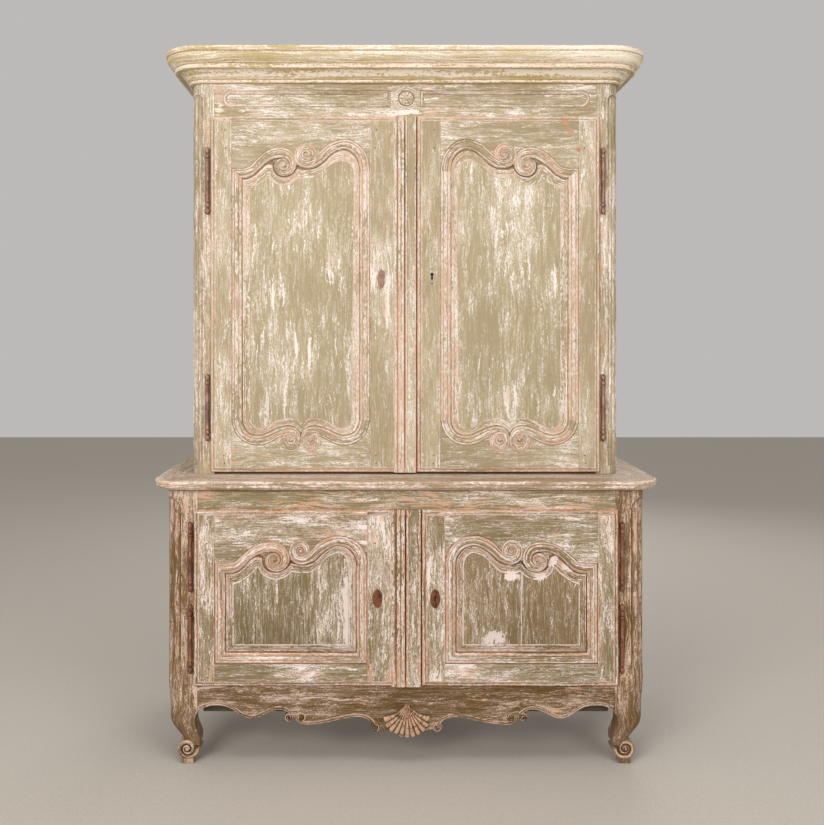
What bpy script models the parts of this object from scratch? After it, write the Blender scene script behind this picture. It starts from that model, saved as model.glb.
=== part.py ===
# Two-part buffet cupboard in old paint: moulded cornice, four shaped doors, scroll feet.
# Metres, +Z up. The front faces -Y, the floor is z = 0 and the origin is under the middle.

import math

import bmesh
import bpy
from mathutils import Matrix, Vector
from mathutils.geometry import interpolate_bezier

for item in list(bpy.data.objects):
    bpy.data.objects.remove(item, do_unlink=True)

# Overall sizes
HEIGHT = 2.270
BASE_HEIGHT = 0.890
DEPTH = 0.622
BASE_WIDTH = 1.512
UPPER_STEP = 0.055
UPPER_SETBACK = 0.122

# Clearances
GAP = 0.0003
DOOR_CLEAR = 0.0015
LIP_CLEAR = 0.0005
MEETING_GAP = 0.0025

# Carcass members
CORNER_RADIUS = 0.045
BASE_POST_FACE = 0.088
UPPER_POST_FACE = 0.0645
BASE_RAIL_FACE = 0.0605
FRIEZE_FACE = 0.1075
BASE_POST_DEPTH = 0.062
UPPER_POST_DEPTH = 0.055
RAIL_THICK = 0.028
APRON_THICK = 0.032
SIDE_THICK = 0.024
SIDE_FRAME = 0.075
SIDE_RECESS = 0.008
SIDE_FIELD = 0.005
SIDE_BEVEL = 0.028
SIDE_BOTTOM = 0.190
REAR_POST_WIDTH = 0.052
REAR_POST_DEPTH = 0.060
REAR_POST_INSET = 0.003
BACK_THICK = 0.016
BACK_INSET = 0.006
BOTTOM_THICK = 0.018
SHELF_THICK = 0.022
SHELF_SETBACK = 0.050
BASE_SHELF_SHARE = 0.46
UPPER_SHELF_SHARE = 0.42

# Buffet top and cornice
TOP_THICK = 0.033
TOP_OVERHANG = 0.042
TOP_NOSING = 0.013
CORNICE_HEIGHT = 0.102
CORNICE_PROJECTION = 0.089
CORNICE_BEAD = 0.012
CORNICE_COVE = 0.033
CORNICE_FILLET = 0.015
CORNICE_FILLET_PROJECTION = 0.058
CORNICE_CAP = 0.009
CORNICE_BOARD = 0.016
CORNICE_WALL = 0.030

# Frieze with two sunk panels and a rosette
FRIEZE_PANEL_HEIGHT = 0.054
FRIEZE_PANEL_INNER = 0.044
FRIEZE_PANEL_END = 0.026
FRIEZE_PANEL_SINK = 0.005
ROSETTE_RADIUS = 0.029
ROSETTE_PROUD = 0.008
ROSETTE_PETALS = 8

# Doors
DOOR_PROUD = 0.012
DOOR_BODY = 0.016
DOOR_LAP = 0.010
DOOR_EDGE = 0.007
BASE_DOOR_BOTTOM = 0.2415
UPPER_DOOR_FLOOR_GAP = 0.006
BASE_STILE = 0.066
UPPER_STILE = 0.0695
BASE_MEETING_STILE = 0.076
UPPER_MEETING_STILE = 0.079
BASE_SHOULDER_DROP = 0.166
UPPER_SHOULDER_DROP = 0.170
BASE_ARCH_RISE = 0.086
UPPER_ARCH_RISE = 0.099
BASE_BOTTOM_RAIL = 0.072
UPPER_BOTTOM_RAIL = 0.088
MOULDING_WIDTH = 0.034
BORDER_WIDTH = 0.026
MITRE_REACH = 0.048
BUTT_DROP = 0.010

# Depths behind the face of a door, and where the panel groove ends across the moulding
EDGE_DEPTH = 0.007
EDGE_ROUND = 0.004
EDGE_QUIRK = 0.003
QUIRK_DEPTH = 0.004
BAND_DEPTH = 0.003
LIP_DEPTH = 0.012
GROOVE_FRONT = 0.0155
GROOVE_BACK = 0.0225
GROOVE_SHARE = 0.70
TONGUE_SHARE = 0.74
BORDER_DEPTH = 0.009
FIELD_DEPTH = 0.006

# Closing strips between the doors
BASE_STRIP_WIDTH = 0.092
UPPER_STRIP_WIDTH = 0.072
STRIP_THICK = 0.015
STRIP_PROUD = 0.003
STRIP_GROOVE = 0.006
STRIP_BEAD = 0.010
STRIP_STEP = 0.004

# Barrel hinges
HINGE_LENGTH = 0.216
HINGE_FINIAL = 0.042
BARREL_RADIUS = 0.007
PIN_RADIUS = 0.0034
BORE_RADIUS = 0.0042
PIN_LENGTH = 0.050
BLADE_THICK = 0.002
BLADE_HEIGHT = 0.058
BLADE_DEPTH = 0.026
BLADE_MARGIN = 0.008
HINGE_STAND = 0.0085
HINGE_OFFSET = 0.0105
BASE_HINGE_SHARE = 0.2676
UPPER_HINGE_SHARE = 0.1816
HINGE_SIDES = 8

# Locks and escutcheons
LOCK_WIDTH = 0.068
LOCK_HEIGHT = 0.095
LOCK_THICK = 0.018
LOCK_BEVEL = 0.002
LOCK_MORTISE = 0.70
BASE_LOCK_SHARE = 0.50
UPPER_LOCK_SHARE = 0.55
KEYHOLE_SHARE = 0.42
PLATE_WIDTH = 0.031
PLATE_HEIGHT = 0.060
PLATE_THICK = 0.0015
KEYHOLE_RADIUS = 0.0042
KEYHOLE_SLOT = 0.0045
KEYHOLE_DROP = 0.014

# Apron and shell
SHELL_HINGE = 0.188
SHELL_DROP = 0.104
SHELL_SIDE = 0.087
SHELL_SPREAD = math.radians(56.0)
SHELL_RIBS = 9
SHELL_PROUD = 0.014
SHELL_FLUTE = 0.010
APRON_DRAWN_HALF = 0.658

# Scroll feet and volutes
SPIRAL_STEPS = 9
SPIRAL_TAPER = 0.45
VOLUTE_WIDTH = 0.011
VOLUTE_EYE = 0.006
VOLUTE_PROUD = 0.003
VOLUTE_ROOT = 0.0135
LEG_DROP = 0.194
LEG_SWING = 0.054
SCROLL_OFFSET = 0.069
SCROLL_HEIGHT = 0.0465
SCROLL_RADIUS = 0.0305
SCROLL_DEPTH = 0.056
SCROLL_SETBACK = 0.010
WHORL_WIDTH = 0.009
WHORL_EYE = 0.005
WHORL_PROUD = 0.004
WHORL_ROOT = 0.006
PAD_HEIGHT = 0.0205
PAD_WIDTH = 0.038

# Planes worked out from the sizes
BASE_FRONT = TOP_OVERHANG - DEPTH / 2
BACK = DEPTH / 2
UPPER_FRONT = BASE_FRONT + UPPER_SETBACK
BASE_HALF = BASE_WIDTH / 2
UPPER_HALF = BASE_HALF - UPPER_STEP
TOP_UNDERSIDE = BASE_HEIGHT - TOP_THICK
CORNICE_SEAT = HEIGHT - CORNICE_HEIGHT
BASE_DOOR_EDGE = BASE_HALF - BASE_POST_FACE
UPPER_DOOR_EDGE = UPPER_HALF - UPPER_POST_FACE
BASE_DOOR_TOP = TOP_UNDERSIDE - BASE_RAIL_FACE
UPPER_DOOR_BOTTOM = BASE_HEIGHT + UPPER_DOOR_FLOOR_GAP
UPPER_DOOR_TOP = CORNICE_SEAT - FRIEZE_FACE
BASE_HINGE_INSET = (BASE_DOOR_TOP - BASE_DOOR_BOTTOM) * BASE_HINGE_SHARE
UPPER_HINGE_INSET = (UPPER_DOOR_TOP - UPPER_DOOR_BOTTOM) * UPPER_HINGE_SHARE
BASE_HINGE_HEIGHTS = (BASE_DOOR_BOTTOM + BASE_HINGE_INSET, BASE_DOOR_TOP - BASE_HINGE_INSET)
UPPER_HINGE_HEIGHTS = (UPPER_DOOR_BOTTOM + UPPER_HINGE_INSET, UPPER_DOOR_TOP - UPPER_HINGE_INSET)
BASE_POST_INNER = BASE_DOOR_EDGE - DOOR_LAP
UPPER_POST_INNER = UPPER_DOOR_EDGE - DOOR_LAP
APRON_TOP = BASE_DOOR_BOTTOM + DOOR_LAP
OVERCUT = 0.02


def paint(name, colour, roughness, metallic=0.0):
    made = bpy.data.materials.new(name)
    made.use_nodes = True
    shader = made.node_tree.nodes["Principled BSDF"]
    shader.inputs["Base Color"].default_value = (*colour, 1.0)
    shader.inputs["Roughness"].default_value = roughness
    shader.inputs["Metallic"].default_value = metallic
    return made


CASE_PAINT = paint("case_paint", (0.33, 0.29, 0.18), 0.75)
DOOR_PAINT = paint("door_paint", (0.36, 0.32, 0.21), 0.75)
PANEL_PAINT = paint("panel_paint", (0.40, 0.36, 0.24), 0.75)
CORNICE_PAINT = paint("cornice_paint", (0.50, 0.46, 0.33), 0.75)
BARE_WOOD = paint("bare_wood", (0.30, 0.20, 0.12), 0.80)
RUSTY_IRON = paint("rusty_iron", (0.09, 0.055, 0.040), 0.60, 0.7)


# Small tools
def pivot(name, place):
    made = bpy.data.objects.new(name, None)
    made.location = place
    made.empty_display_size = 0.05
    bpy.context.collection.objects.link(made)
    return made


def mesh_from(bm, name):
    bmesh.ops.remove_doubles(bm, verts=bm.verts[:], dist=1e-6)
    bmesh.ops.recalc_face_normals(bm, faces=bm.faces[:])
    mesh = bpy.data.meshes.new(name)
    bm.to_mesh(mesh)
    bm.free()
    return mesh


def node(name, mesh, material, parent=None):
    made = bpy.data.objects.new(name, mesh)
    mesh.materials.clear()
    mesh.materials.append(material)
    bpy.context.collection.objects.link(made)
    if parent:
        mesh.transform(Matrix.Translation(-parent.location))
        made.parent = parent
    return made


def round_shading(made):
    made.data.shade_smooth()
    made.data.set_sharp_from_angle(angle=math.radians(35.0))


def box_mesh(low, high):
    bm = bmesh.new()
    size = Vector(high) - Vector(low)
    middle = (Vector(high) + Vector(low)) / 2
    bmesh.ops.create_cube(bm, size=1.0, matrix=Matrix.Translation(middle) @ Matrix.Diagonal((*size, 1.0)))
    return mesh_from(bm, "box")


def prism_mesh(outline, axis, low, high):
    # A flat outline pushed along one axis: the outline's two values fill the other axes in order.
    def place(point, along):
        values = list(point)
        values.insert(axis, along)
        return values
    bm = bmesh.new()
    face = bm.faces.new([bm.verts.new(place(point, low)) for point in outline])
    pushed = bmesh.ops.extrude_face_region(bm, geom=[face])
    step = Vector(place((0.0, 0.0), high - low))
    bmesh.ops.translate(bm, vec=step, verts=[v for v in pushed["geom"] if isinstance(v, bmesh.types.BMVert)])
    return mesh_from(bm, "prism")


def loft_mesh(loops):
    # A skin through closed loops of equal count, capped at both ends.
    bm = bmesh.new()
    rings = [[bm.verts.new(point) for point in loop] for loop in loops]
    for ring, following in zip(rings, rings[1:]):
        for i in range(len(ring)):
            j = (i + 1) % len(ring)
            bm.faces.new((ring[i], ring[j], following[j], following[i]))
    bm.faces.new(rings[0])
    bm.faces.new(rings[-1])
    return mesh_from(bm, "loft")


def turned_mesh(profile, sides):
    # Radius and height pairs turned about the Z axis, from one end on the axis to the other.
    bm = bmesh.new()
    points = [bm.verts.new((radius, 0.0, height)) for radius, height in profile]
    edges = [bm.edges.new(pair) for pair in zip(points, points[1:])]
    bmesh.ops.spin(bm, geom=points + edges, cent=(0, 0, 0), axis=(0, 0, 1), dvec=(0, 0, 0),
                   angle=2 * math.pi, steps=sides, use_merge=True, use_duplicate=False)
    return mesh_from(bm, "turned")


def joined_mesh(meshes):
    bm = bmesh.new()
    for mesh in meshes:
        bm.from_mesh(mesh)
    return mesh_from(bm, "joined")


def hidden_tool(name, mesh):
    made = bpy.data.objects.new(name, mesh)
    made.hide_render = True
    made.display_type = "WIRE"
    bpy.context.collection.objects.link(made)
    return made


def boolean(made, tool, operation):
    change = made.modifiers.new(operation.lower(), "BOOLEAN")
    change.operation = operation
    change.object = tool
    change.solver = "EXACT"


def cut(made, name, *meshes):
    boolean(made, hidden_tool(made.name + "_" + name, joined_mesh(meshes)), "DIFFERENCE")


def join(made, name, mesh):
    boolean(made, hidden_tool(made.name + "_" + name, mesh), "UNION")


def arc(centre, radii, start, end, steps):
    turn = (end - start) / steps
    angles = [start + turn * i for i in range(steps + 1)]
    return [(centre[0] + radii[0] * math.cos(a), centre[1] + radii[1] * math.sin(a)) for a in angles]


def curve(spans, counts):
    # Points along a chain of curved spans, each given by its ends and two handles.
    points = []
    for span, count in zip(spans, counts):
        run = interpolate_bezier(*[Vector((*point, 0.0)) for point in span], count + 1)
        points += [(p.x, p.y) for p in run[:-1]]
    return points


def straight(start, end):
    third = [(e - s) / 3 for s, e in zip(start, end)]
    return (start, (start[0] + third[0], start[1] + third[1]), (end[0] - third[0], end[1] - third[1]), end)


# Plan outlines with two rounded front corners
def plan_loop(half, front, back, radius, height):
    quarter = math.pi / 2
    steps = 6
    left = arc((-half + radius, front + radius), (radius, radius), 2 * quarter, 3 * quarter, steps)
    right = arc((half - radius, front + radius), (radius, radius), 3 * quarter, 4 * quarter, steps)
    outline = [(-half, back)] + left + right + [(half, back)]
    return [(x, y, height) for x, y in outline]


def moulded_plan(profile, half, front, radius):
    return [plan_loop(half + out, front - out, BACK, radius + out, height) for out, height in profile]


# Buffet top: a board with an ovolo nosing on three sides
def buffet_top():
    nose = arc((TOP_OVERHANG - TOP_NOSING, TOP_UNDERSIDE + TOP_THICK / 2), (TOP_NOSING, TOP_THICK / 2),
               -math.pi / 2, math.pi / 2, 6)
    made = node("lower_top", loft_mesh(moulded_plan(nose, BASE_HALF, BASE_FRONT, CORNER_RADIUS)), CASE_PAINT)
    round_shading(made)


# Cornice: bead, cove, fillet and crown round three sides, closed above by a dust board
def cornice():
    quarter = math.pi / 2
    low = CORNICE_SEAT
    bead = CORNICE_BEAD / 2
    cove_low = low + CORNICE_BEAD
    cove_high = cove_low + CORNICE_COVE
    crown_low = cove_high + CORNICE_FILLET
    crown_high = HEIGHT - CORNICE_CAP
    cove_reach = CORNICE_FILLET_PROJECTION - bead
    crown_reach = CORNICE_PROJECTION - CORNICE_FILLET_PROJECTION
    profile = arc((bead, low + bead), (bead, bead), -quarter, quarter, 4)
    profile += arc((CORNICE_FILLET_PROJECTION, cove_low + GAP), (cove_reach, CORNICE_COVE),
                   math.pi, quarter, 5)
    profile += [(CORNICE_FILLET_PROJECTION, crown_low)]
    profile += arc((CORNICE_FILLET_PROJECTION + GAP, crown_high), (crown_reach, crown_high - crown_low),
                   -quarter, 0.0, 5)[1:]
    ease = CORNICE_CAP / 3
    profile += [(CORNICE_PROJECTION, HEIGHT - ease), (CORNICE_PROJECTION - ease, HEIGHT)]
    inner = (UPPER_HALF - CORNICE_WALL, UPPER_FRONT + CORNICE_WALL, BACK - CORNICE_WALL, CORNER_RADIUS / 2)
    loops = [plan_loop(*inner, HEIGHT - CORNICE_BOARD), plan_loop(*inner, low)]
    loops += moulded_plan(profile, UPPER_HALF, UPPER_FRONT, CORNER_RADIUS)
    round_shading(node("cornice", loft_mesh(loops), CORNICE_PAINT))


# Front posts
def post_section(outer, inner, front, back, height):
    radius = min(CORNER_RADIUS, (outer - inner) * 0.6, (back - front) * 0.6)
    quarter = math.pi / 2
    corner = arc((outer - radius, front + radius), (radius, radius), -quarter, 0.0, 6)
    return [(x, y, height) for x, y in corner + [(outer, back), (inner, back), (inner, front)]]


def mirrored(mesh, side):
    mesh.transform(Matrix.Diagonal((side, 1.0, 1.0, 1.0)))
    if side < 0:
        mesh.flip_normals()
    return mesh


def spiral_ridge(centre, start_radius, end_radius, start_angle, turns, width, front, back):
    # A rising ridge wound round a centre in the front plane, narrowing to its eye.
    steps = round(abs(turns) * SPIRAL_STEPS)
    loops = []
    for i in range(steps + 1):
        share = i / steps
        angle = start_angle + share * turns * 2 * math.pi
        radius = start_radius + (end_radius - start_radius) * share
        half = width * (1 - SPIRAL_TAPER * share) / 2
        ray = Vector((math.cos(angle), 0.0, math.sin(angle)))
        middle = Vector((centre[0], 0.0, centre[1])) + ray * radius
        loops.append([middle - ray * half + Vector((0, back, 0)), middle + Vector((0, front, 0)),
                      middle + ray * half + Vector((0, back, 0))])
    return loft_mesh(loops)


def hinge_slot(axis_x, axis_y, split):
    low = split - BLADE_MARGIN - BLADE_HEIGHT - GAP
    high = split - BLADE_MARGIN + GAP
    half = BLADE_THICK / 2 + GAP
    return box_mesh((axis_x - half, axis_y, low), (axis_x + half, axis_y + BLADE_DEPTH + GAP, high))


def base_posts():
    # How far the outer, inner, front and rear faces have swung in, as shares of the swing, and the share of
    # the drop, from knee to ankle.
    leg = ((-0.02, 0.0, -0.06, 0.0, 0.46), (0.02, 0.17, -0.04, 0.04, 0.60), (0.28, 0.09, 0.07, 0.11, 0.72),
           (0.63, -0.06, 0.19, 0.15, 0.81), (0.89, -0.19, 0.26, 0.15, 0.91), (1.0, -0.15, 0.30, 0.11, 1.0))
    back = BASE_FRONT + BASE_POST_DEPTH
    for side, name in ((-1, "lower_left_post"), (1, "lower_right_post")):
        loops = [post_section(BASE_HALF, BASE_POST_INNER, BASE_FRONT, back, TOP_UNDERSIDE - GAP),
                 post_section(BASE_HALF, BASE_POST_INNER, BASE_FRONT, back, APRON_TOP)]
        for outer, inner, front, rear, drop in leg:
            loops.append(post_section(BASE_HALF - outer * LEG_SWING, BASE_POST_INNER + inner * LEG_SWING,
                                      BASE_FRONT + front * LEG_SWING, back + rear * LEG_SWING,
                                      APRON_TOP - drop * LEG_DROP))
        made = node(name, mirrored(loft_mesh(loops), side), CASE_PAINT)
        centre = (BASE_HALF - SCROLL_OFFSET, SCROLL_HEIGHT)
        front = BASE_FRONT + SCROLL_SETBACK
        roll = arc(centre, (SCROLL_RADIUS, SCROLL_RADIUS), 0.0, 2 * math.pi, 20)[:-1]
        join(made, "scroll", mirrored(prism_mesh(roll, 1, front, front + SCROLL_DEPTH), side))
        ridge = spiral_ridge(centre, SCROLL_RADIUS - WHORL_WIDTH / 2, WHORL_EYE, math.radians(150), -1.6,
                             WHORL_WIDTH, front - WHORL_PROUD, front + WHORL_ROOT)
        join(made, "whorl", mirrored(ridge, side))
        half = PAD_WIDTH / 2
        depth = front + SCROLL_DEPTH / 2
        pad = box_mesh((centre[0] - half, depth - half, 0.0), (centre[0] + half, depth + half, PAD_HEIGHT))
        join(made, "pad", mirrored(pad, side))
        axis_x = BASE_DOOR_EDGE + HINGE_OFFSET
        slots = [hinge_slot(side * axis_x, BASE_FRONT - HINGE_STAND, split) for split in BASE_HINGE_HEIGHTS]
        cut(made, "slots", *slots)


def upper_posts():
    back = UPPER_FRONT + UPPER_POST_DEPTH
    for side, name in ((-1, "upper_left_post"), (1, "upper_right_post")):
        loops = [post_section(UPPER_HALF, UPPER_POST_INNER, UPPER_FRONT, back, height)
                 for height in (CORNICE_SEAT - GAP, BASE_HEIGHT + GAP)]
        made = node(name, mirrored(loft_mesh(loops), side), CASE_PAINT)
        axis_x = UPPER_DOOR_EDGE + HINGE_OFFSET
        slots = [hinge_slot(side * axis_x, UPPER_FRONT - HINGE_STAND, split) for split in UPPER_HINGE_HEIGHTS]
        cut(made, "slots", *slots)


# Sides: a frame with a sunk, fielded panel on its outer face
def side_board(half, front, bottom, top):
    bm = bmesh.new()
    size = Vector((SIDE_THICK, BACK - front, top - bottom))
    middle = Vector((half - SIDE_THICK / 2, (BACK + front) / 2, (top + bottom) / 2))
    bmesh.ops.create_cube(bm, size=1.0, matrix=Matrix.Translation(middle) @ Matrix.Diagonal((*size, 1.0)))
    bm.normal_update()
    outer = [face for face in bm.faces if face.normal.x > 0.9]
    bmesh.ops.inset_region(bm, faces=outer, thickness=SIDE_FRAME)
    bmesh.ops.inset_region(bm, faces=outer, thickness=GAP)
    bmesh.ops.translate(bm, vec=(-SIDE_RECESS, 0, 0), verts=outer[0].verts)
    bmesh.ops.inset_region(bm, faces=outer, thickness=SIDE_BEVEL)
    bmesh.ops.translate(bm, vec=(SIDE_FIELD, 0, 0), verts=outer[0].verts)
    return mesh_from(bm, "side")


def sides():
    base_front = BASE_FRONT + BASE_POST_DEPTH + GAP
    upper_front = UPPER_FRONT + UPPER_POST_DEPTH + GAP
    foot = box_mesh((BASE_HALF - REAR_POST_WIDTH, BACK - REAR_POST_DEPTH, 0.0),
                    (BASE_HALF - REAR_POST_INSET, BACK - GAP, TOP_UNDERSIDE - 2 * GAP))
    for side, word in ((-1, "left"), (1, "right")):
        board = side_board(BASE_HALF, base_front, SIDE_BOTTOM, TOP_UNDERSIDE - GAP)
        made = node("lower_" + word + "_side", mirrored(board, side), CASE_PAINT)
        join(made, "foot", mirrored(foot.copy(), side))
        board = side_board(UPPER_HALF, upper_front, BASE_HEIGHT + GAP, CORNICE_SEAT - GAP)
        node("upper_" + word + "_side", mirrored(board, side), CASE_PAINT)


# Boards inside the two cases
def boards():
    half = BASE_HALF - REAR_POST_WIDTH - GAP
    back_front = BACK - BACK_INSET - BACK_THICK
    back_rear = BACK - BACK_INSET
    back = box_mesh((-half, back_front, SIDE_BOTTOM), (half, back_rear, TOP_UNDERSIDE - GAP))
    node("lower_back", back, BARE_WOOD)
    clear = BASE_HALF - SIDE_THICK - GAP
    post_back = BASE_FRONT + BASE_POST_DEPTH + GAP
    apron_back = BASE_FRONT + APRON_THICK + GAP
    post_side = BASE_POST_INNER - GAP
    rear = BACK - REAR_POST_DEPTH - GAP
    floor = [(post_side, apron_back), (post_side, post_back), (clear, post_back), (clear, rear), (half, rear),
             (half, back_front - GAP)]
    floor += [(-x, y) for x, y in reversed(floor)]
    node("lower_bottom", prism_mesh(floor, 2, APRON_TOP - BOTTOM_THICK, APRON_TOP), BARE_WOOD)
    shelf = APRON_TOP + (TOP_UNDERSIDE - APRON_TOP) * BASE_SHELF_SHARE
    front = post_back + SHELF_SETBACK
    node("lower_shelf", box_mesh((-clear, front, shelf - SHELF_THICK), (clear, rear, shelf)), BARE_WOOD)
    half = UPPER_HALF - SIDE_THICK - GAP
    back = box_mesh((-half, back_front, BASE_HEIGHT + GAP), (half, back_rear, CORNICE_SEAT - GAP))
    node("upper_back", back, BARE_WOOD)
    front = UPPER_FRONT + UPPER_POST_DEPTH + SHELF_SETBACK / 2
    shelf = BASE_HEIGHT + (CORNICE_SEAT - BASE_HEIGHT) * UPPER_SHELF_SHARE
    rear = back_front - GAP
    node("upper_shelf", box_mesh((-half, front, shelf - SHELF_THICK), (half, rear, shelf)), BARE_WOOD)


# Front rails
def base_top_rail():
    half = BASE_POST_INNER - GAP
    node("lower_top_rail", box_mesh((-half, BASE_FRONT, BASE_DOOR_TOP - DOOR_LAP),
                                    (half, BASE_FRONT + RAIL_THICK, TOP_UNDERSIDE - GAP)), CASE_PAINT)


def frieze():
    half = UPPER_POST_INNER - GAP
    low = UPPER_DOOR_TOP - DOOR_LAP
    high = CORNICE_SEAT - GAP
    rail = box_mesh((-half, UPPER_FRONT, low), (half, UPPER_FRONT + RAIL_THICK, high))
    made = node("frieze_rail", rail, CASE_PAINT)
    middle = (UPPER_DOOR_TOP + high) / 2
    rise = FRIEZE_PANEL_HEIGHT / 2
    end = half - FRIEZE_PANEL_END - rise
    sunk = [(FRIEZE_PANEL_INNER, middle - rise)]
    sunk += arc((end, middle), (rise, rise), -math.pi / 2, math.pi / 2, 8)
    sunk += [(FRIEZE_PANEL_INNER, middle + rise)]
    panels = [mirrored(prism_mesh(sunk, 1, UPPER_FRONT - OVERCUT, UPPER_FRONT + FRIEZE_PANEL_SINK), side)
              for side in (-1, 1)]
    cut(made, "panels", *panels)
    loops = []
    for depth, share in ((FRIEZE_PANEL_SINK, 1.0), (-ROSETTE_PROUD * 0.5, 1.0), (-ROSETTE_PROUD, 0.6)):
        loop = []
        for i in range(4 * ROSETTE_PETALS):
            angle = 2 * math.pi * i / (4 * ROSETTE_PETALS)
            radius = ROSETTE_RADIUS * share * (1 - 0.14 * abs(math.sin(angle * ROSETTE_PETALS / 2)))
            loop.append((radius * math.cos(angle), UPPER_FRONT + depth, middle + radius * math.sin(angle)))
        loops.append(loop)
    join(made, "rosette", loft_mesh(loops))


# Apron: a scalloped lower rail, carved with a shell in the middle
def apron_edge():
    # Half of the lower edge from the post to the middle, as drawn distances from the centre and heights.
    spans = (((APRON_DRAWN_HALF, 0.150), (0.645, 0.172), (0.612, 0.184), (0.588, 0.180)),
             ((0.588, 0.180), (0.570, 0.178), (0.556, 0.170), (0.545, 0.164)),
             ((0.545, 0.164), (0.530, 0.168), (0.518, 0.137), (0.495, 0.137)),
             ((0.495, 0.137), (0.460, 0.137), (0.430, 0.164), (0.398, 0.164)),
             ((0.398, 0.164), (0.384, 0.164), (0.372, 0.158), (0.366, 0.146)),
             ((0.366, 0.146), (0.352, 0.118), (0.330, 0.116), (0.308, 0.117)),
             ((0.308, 0.117), (0.250, 0.118), (0.205, 0.141), (0.155, 0.141)),
             ((0.155, 0.141), (0.120, 0.141), (0.108, 0.128), (0.100, 0.104)),
             straight((0.100, 0.104), (0.030, 0.104)))
    across = (BASE_POST_INNER - GAP) / APRON_DRAWN_HALF
    points = curve(spans, (5, 3, 4, 5, 4, 4, 6, 4, 1)) + [spans[-1][-1]]
    return [(x * across, z) for x, z in points]


def shell_mesh():
    front = BASE_FRONT - SHELL_PROUD
    back = BASE_FRONT + SHELL_PROUD
    bm = bmesh.new()
    rim = []
    base = []
    for i in range(2 * SHELL_RIBS + 1):
        angle = SHELL_SPREAD * (i / SHELL_RIBS - 1)
        ridge = i % 2
        reach = SHELL_SIDE + (SHELL_DROP - SHELL_SIDE) * math.cos(angle * math.pi / 2 / SHELL_SPREAD)
        reach *= 1.0 if ridge else 0.94
        x = reach * math.sin(angle)
        z = SHELL_HINGE - reach * math.cos(angle)
        rim.append(bm.verts.new((x, front if ridge else front + SHELL_FLUTE, z)))
        base.append(bm.verts.new((x, back, z)))
    hinge = bm.verts.new((0.0, front, SHELL_HINGE))
    hinge_back = bm.verts.new((0.0, back, SHELL_HINGE))
    for i in range(2 * SHELL_RIBS):
        bm.faces.new((hinge, rim[i], rim[i + 1]))
        bm.faces.new((rim[i], base[i], base[i + 1], rim[i + 1]))
    bm.faces.new((hinge, hinge_back, base[0], rim[0]))
    bm.faces.new((hinge, rim[-1], base[-1], hinge_back))
    bm.faces.new([hinge_back] + base[::-1])
    return mesh_from(bm, "shell")


def apron():
    edge = apron_edge()
    half = BASE_POST_INNER - GAP
    outline = [(half, APRON_TOP)] + edge + [(-x, z) for x, z in reversed(edge)] + [(-half, APRON_TOP)]
    made = node("apron", prism_mesh(outline, 1, BASE_FRONT, BASE_FRONT + APRON_THICK), CASE_PAINT)
    join(made, "shell", shell_mesh())


# Door outlines: where the moulding leaves the frame, its inner lip, and the edge of the raised field.
# Each is drawn for an opening 0.480 wide with a 0.086 arch, from the hinge side, and stretched to fit.
DRAWN_WIDTH = 0.480
DRAWN_RISE = 0.086
TOP_COUNTS = (1, 5, 4, 4, 3, 5, 5)
TOP_SPANS = {
    "outer": (straight((0.0, 0.0), (0.050, 0.0)),
              ((0.050, 0.0), (0.095, 0.0), (0.103, 0.068), (0.178, 0.068)),
              ((0.178, 0.068), (0.195, 0.068), (0.210, 0.063), (0.221, 0.054)),
              ((0.221, 0.054), (0.232, 0.045), (0.239, 0.033), (0.239, 0.017)),
              ((0.239, 0.017), (0.252, 0.008), (0.288, 0.020), (0.305, 0.040)),
              ((0.305, 0.040), (0.324, 0.060), (0.350, 0.086), (0.386, 0.086)),
              ((0.386, 0.086), (0.440, 0.086), (0.480, 0.055), (0.480, -0.010))),
    "lip": (straight((0.034, -0.034), (0.060, -0.034)),
            ((0.060, -0.034), (0.100, -0.034), (0.112, 0.004), (0.148, 0.006)),
            ((0.148, 0.006), (0.150, -0.018), (0.168, -0.034), (0.191, -0.034)),
            ((0.191, -0.034), (0.216, -0.034), (0.236, -0.020), (0.242, -0.001)),
            ((0.242, -0.001), (0.252, -0.006), (0.268, -0.008), (0.287, -0.007)),
            ((0.287, -0.007), (0.325, -0.004), (0.345, 0.055), (0.392, 0.055)),
            ((0.392, 0.055), (0.424, 0.055), (0.446, 0.034), (0.446, -0.010))),
    "field": (straight((0.060, -0.066), (0.078, -0.062)),
              ((0.078, -0.062), (0.105, -0.052), (0.125, -0.036), (0.139, -0.013)),
              ((0.139, -0.013), (0.143, -0.036), (0.160, -0.054), (0.191, -0.054)),
              ((0.191, -0.054), (0.218, -0.054), (0.236, -0.046), (0.244, -0.030)),
              ((0.244, -0.030), (0.256, -0.033), (0.270, -0.034), (0.287, -0.034)),
              ((0.287, -0.034), (0.325, -0.032), (0.345, 0.030), (0.388, 0.030)),
              ((0.388, 0.030), (0.408, 0.030), (0.420, 0.015), (0.420, -0.030)))}
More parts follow.
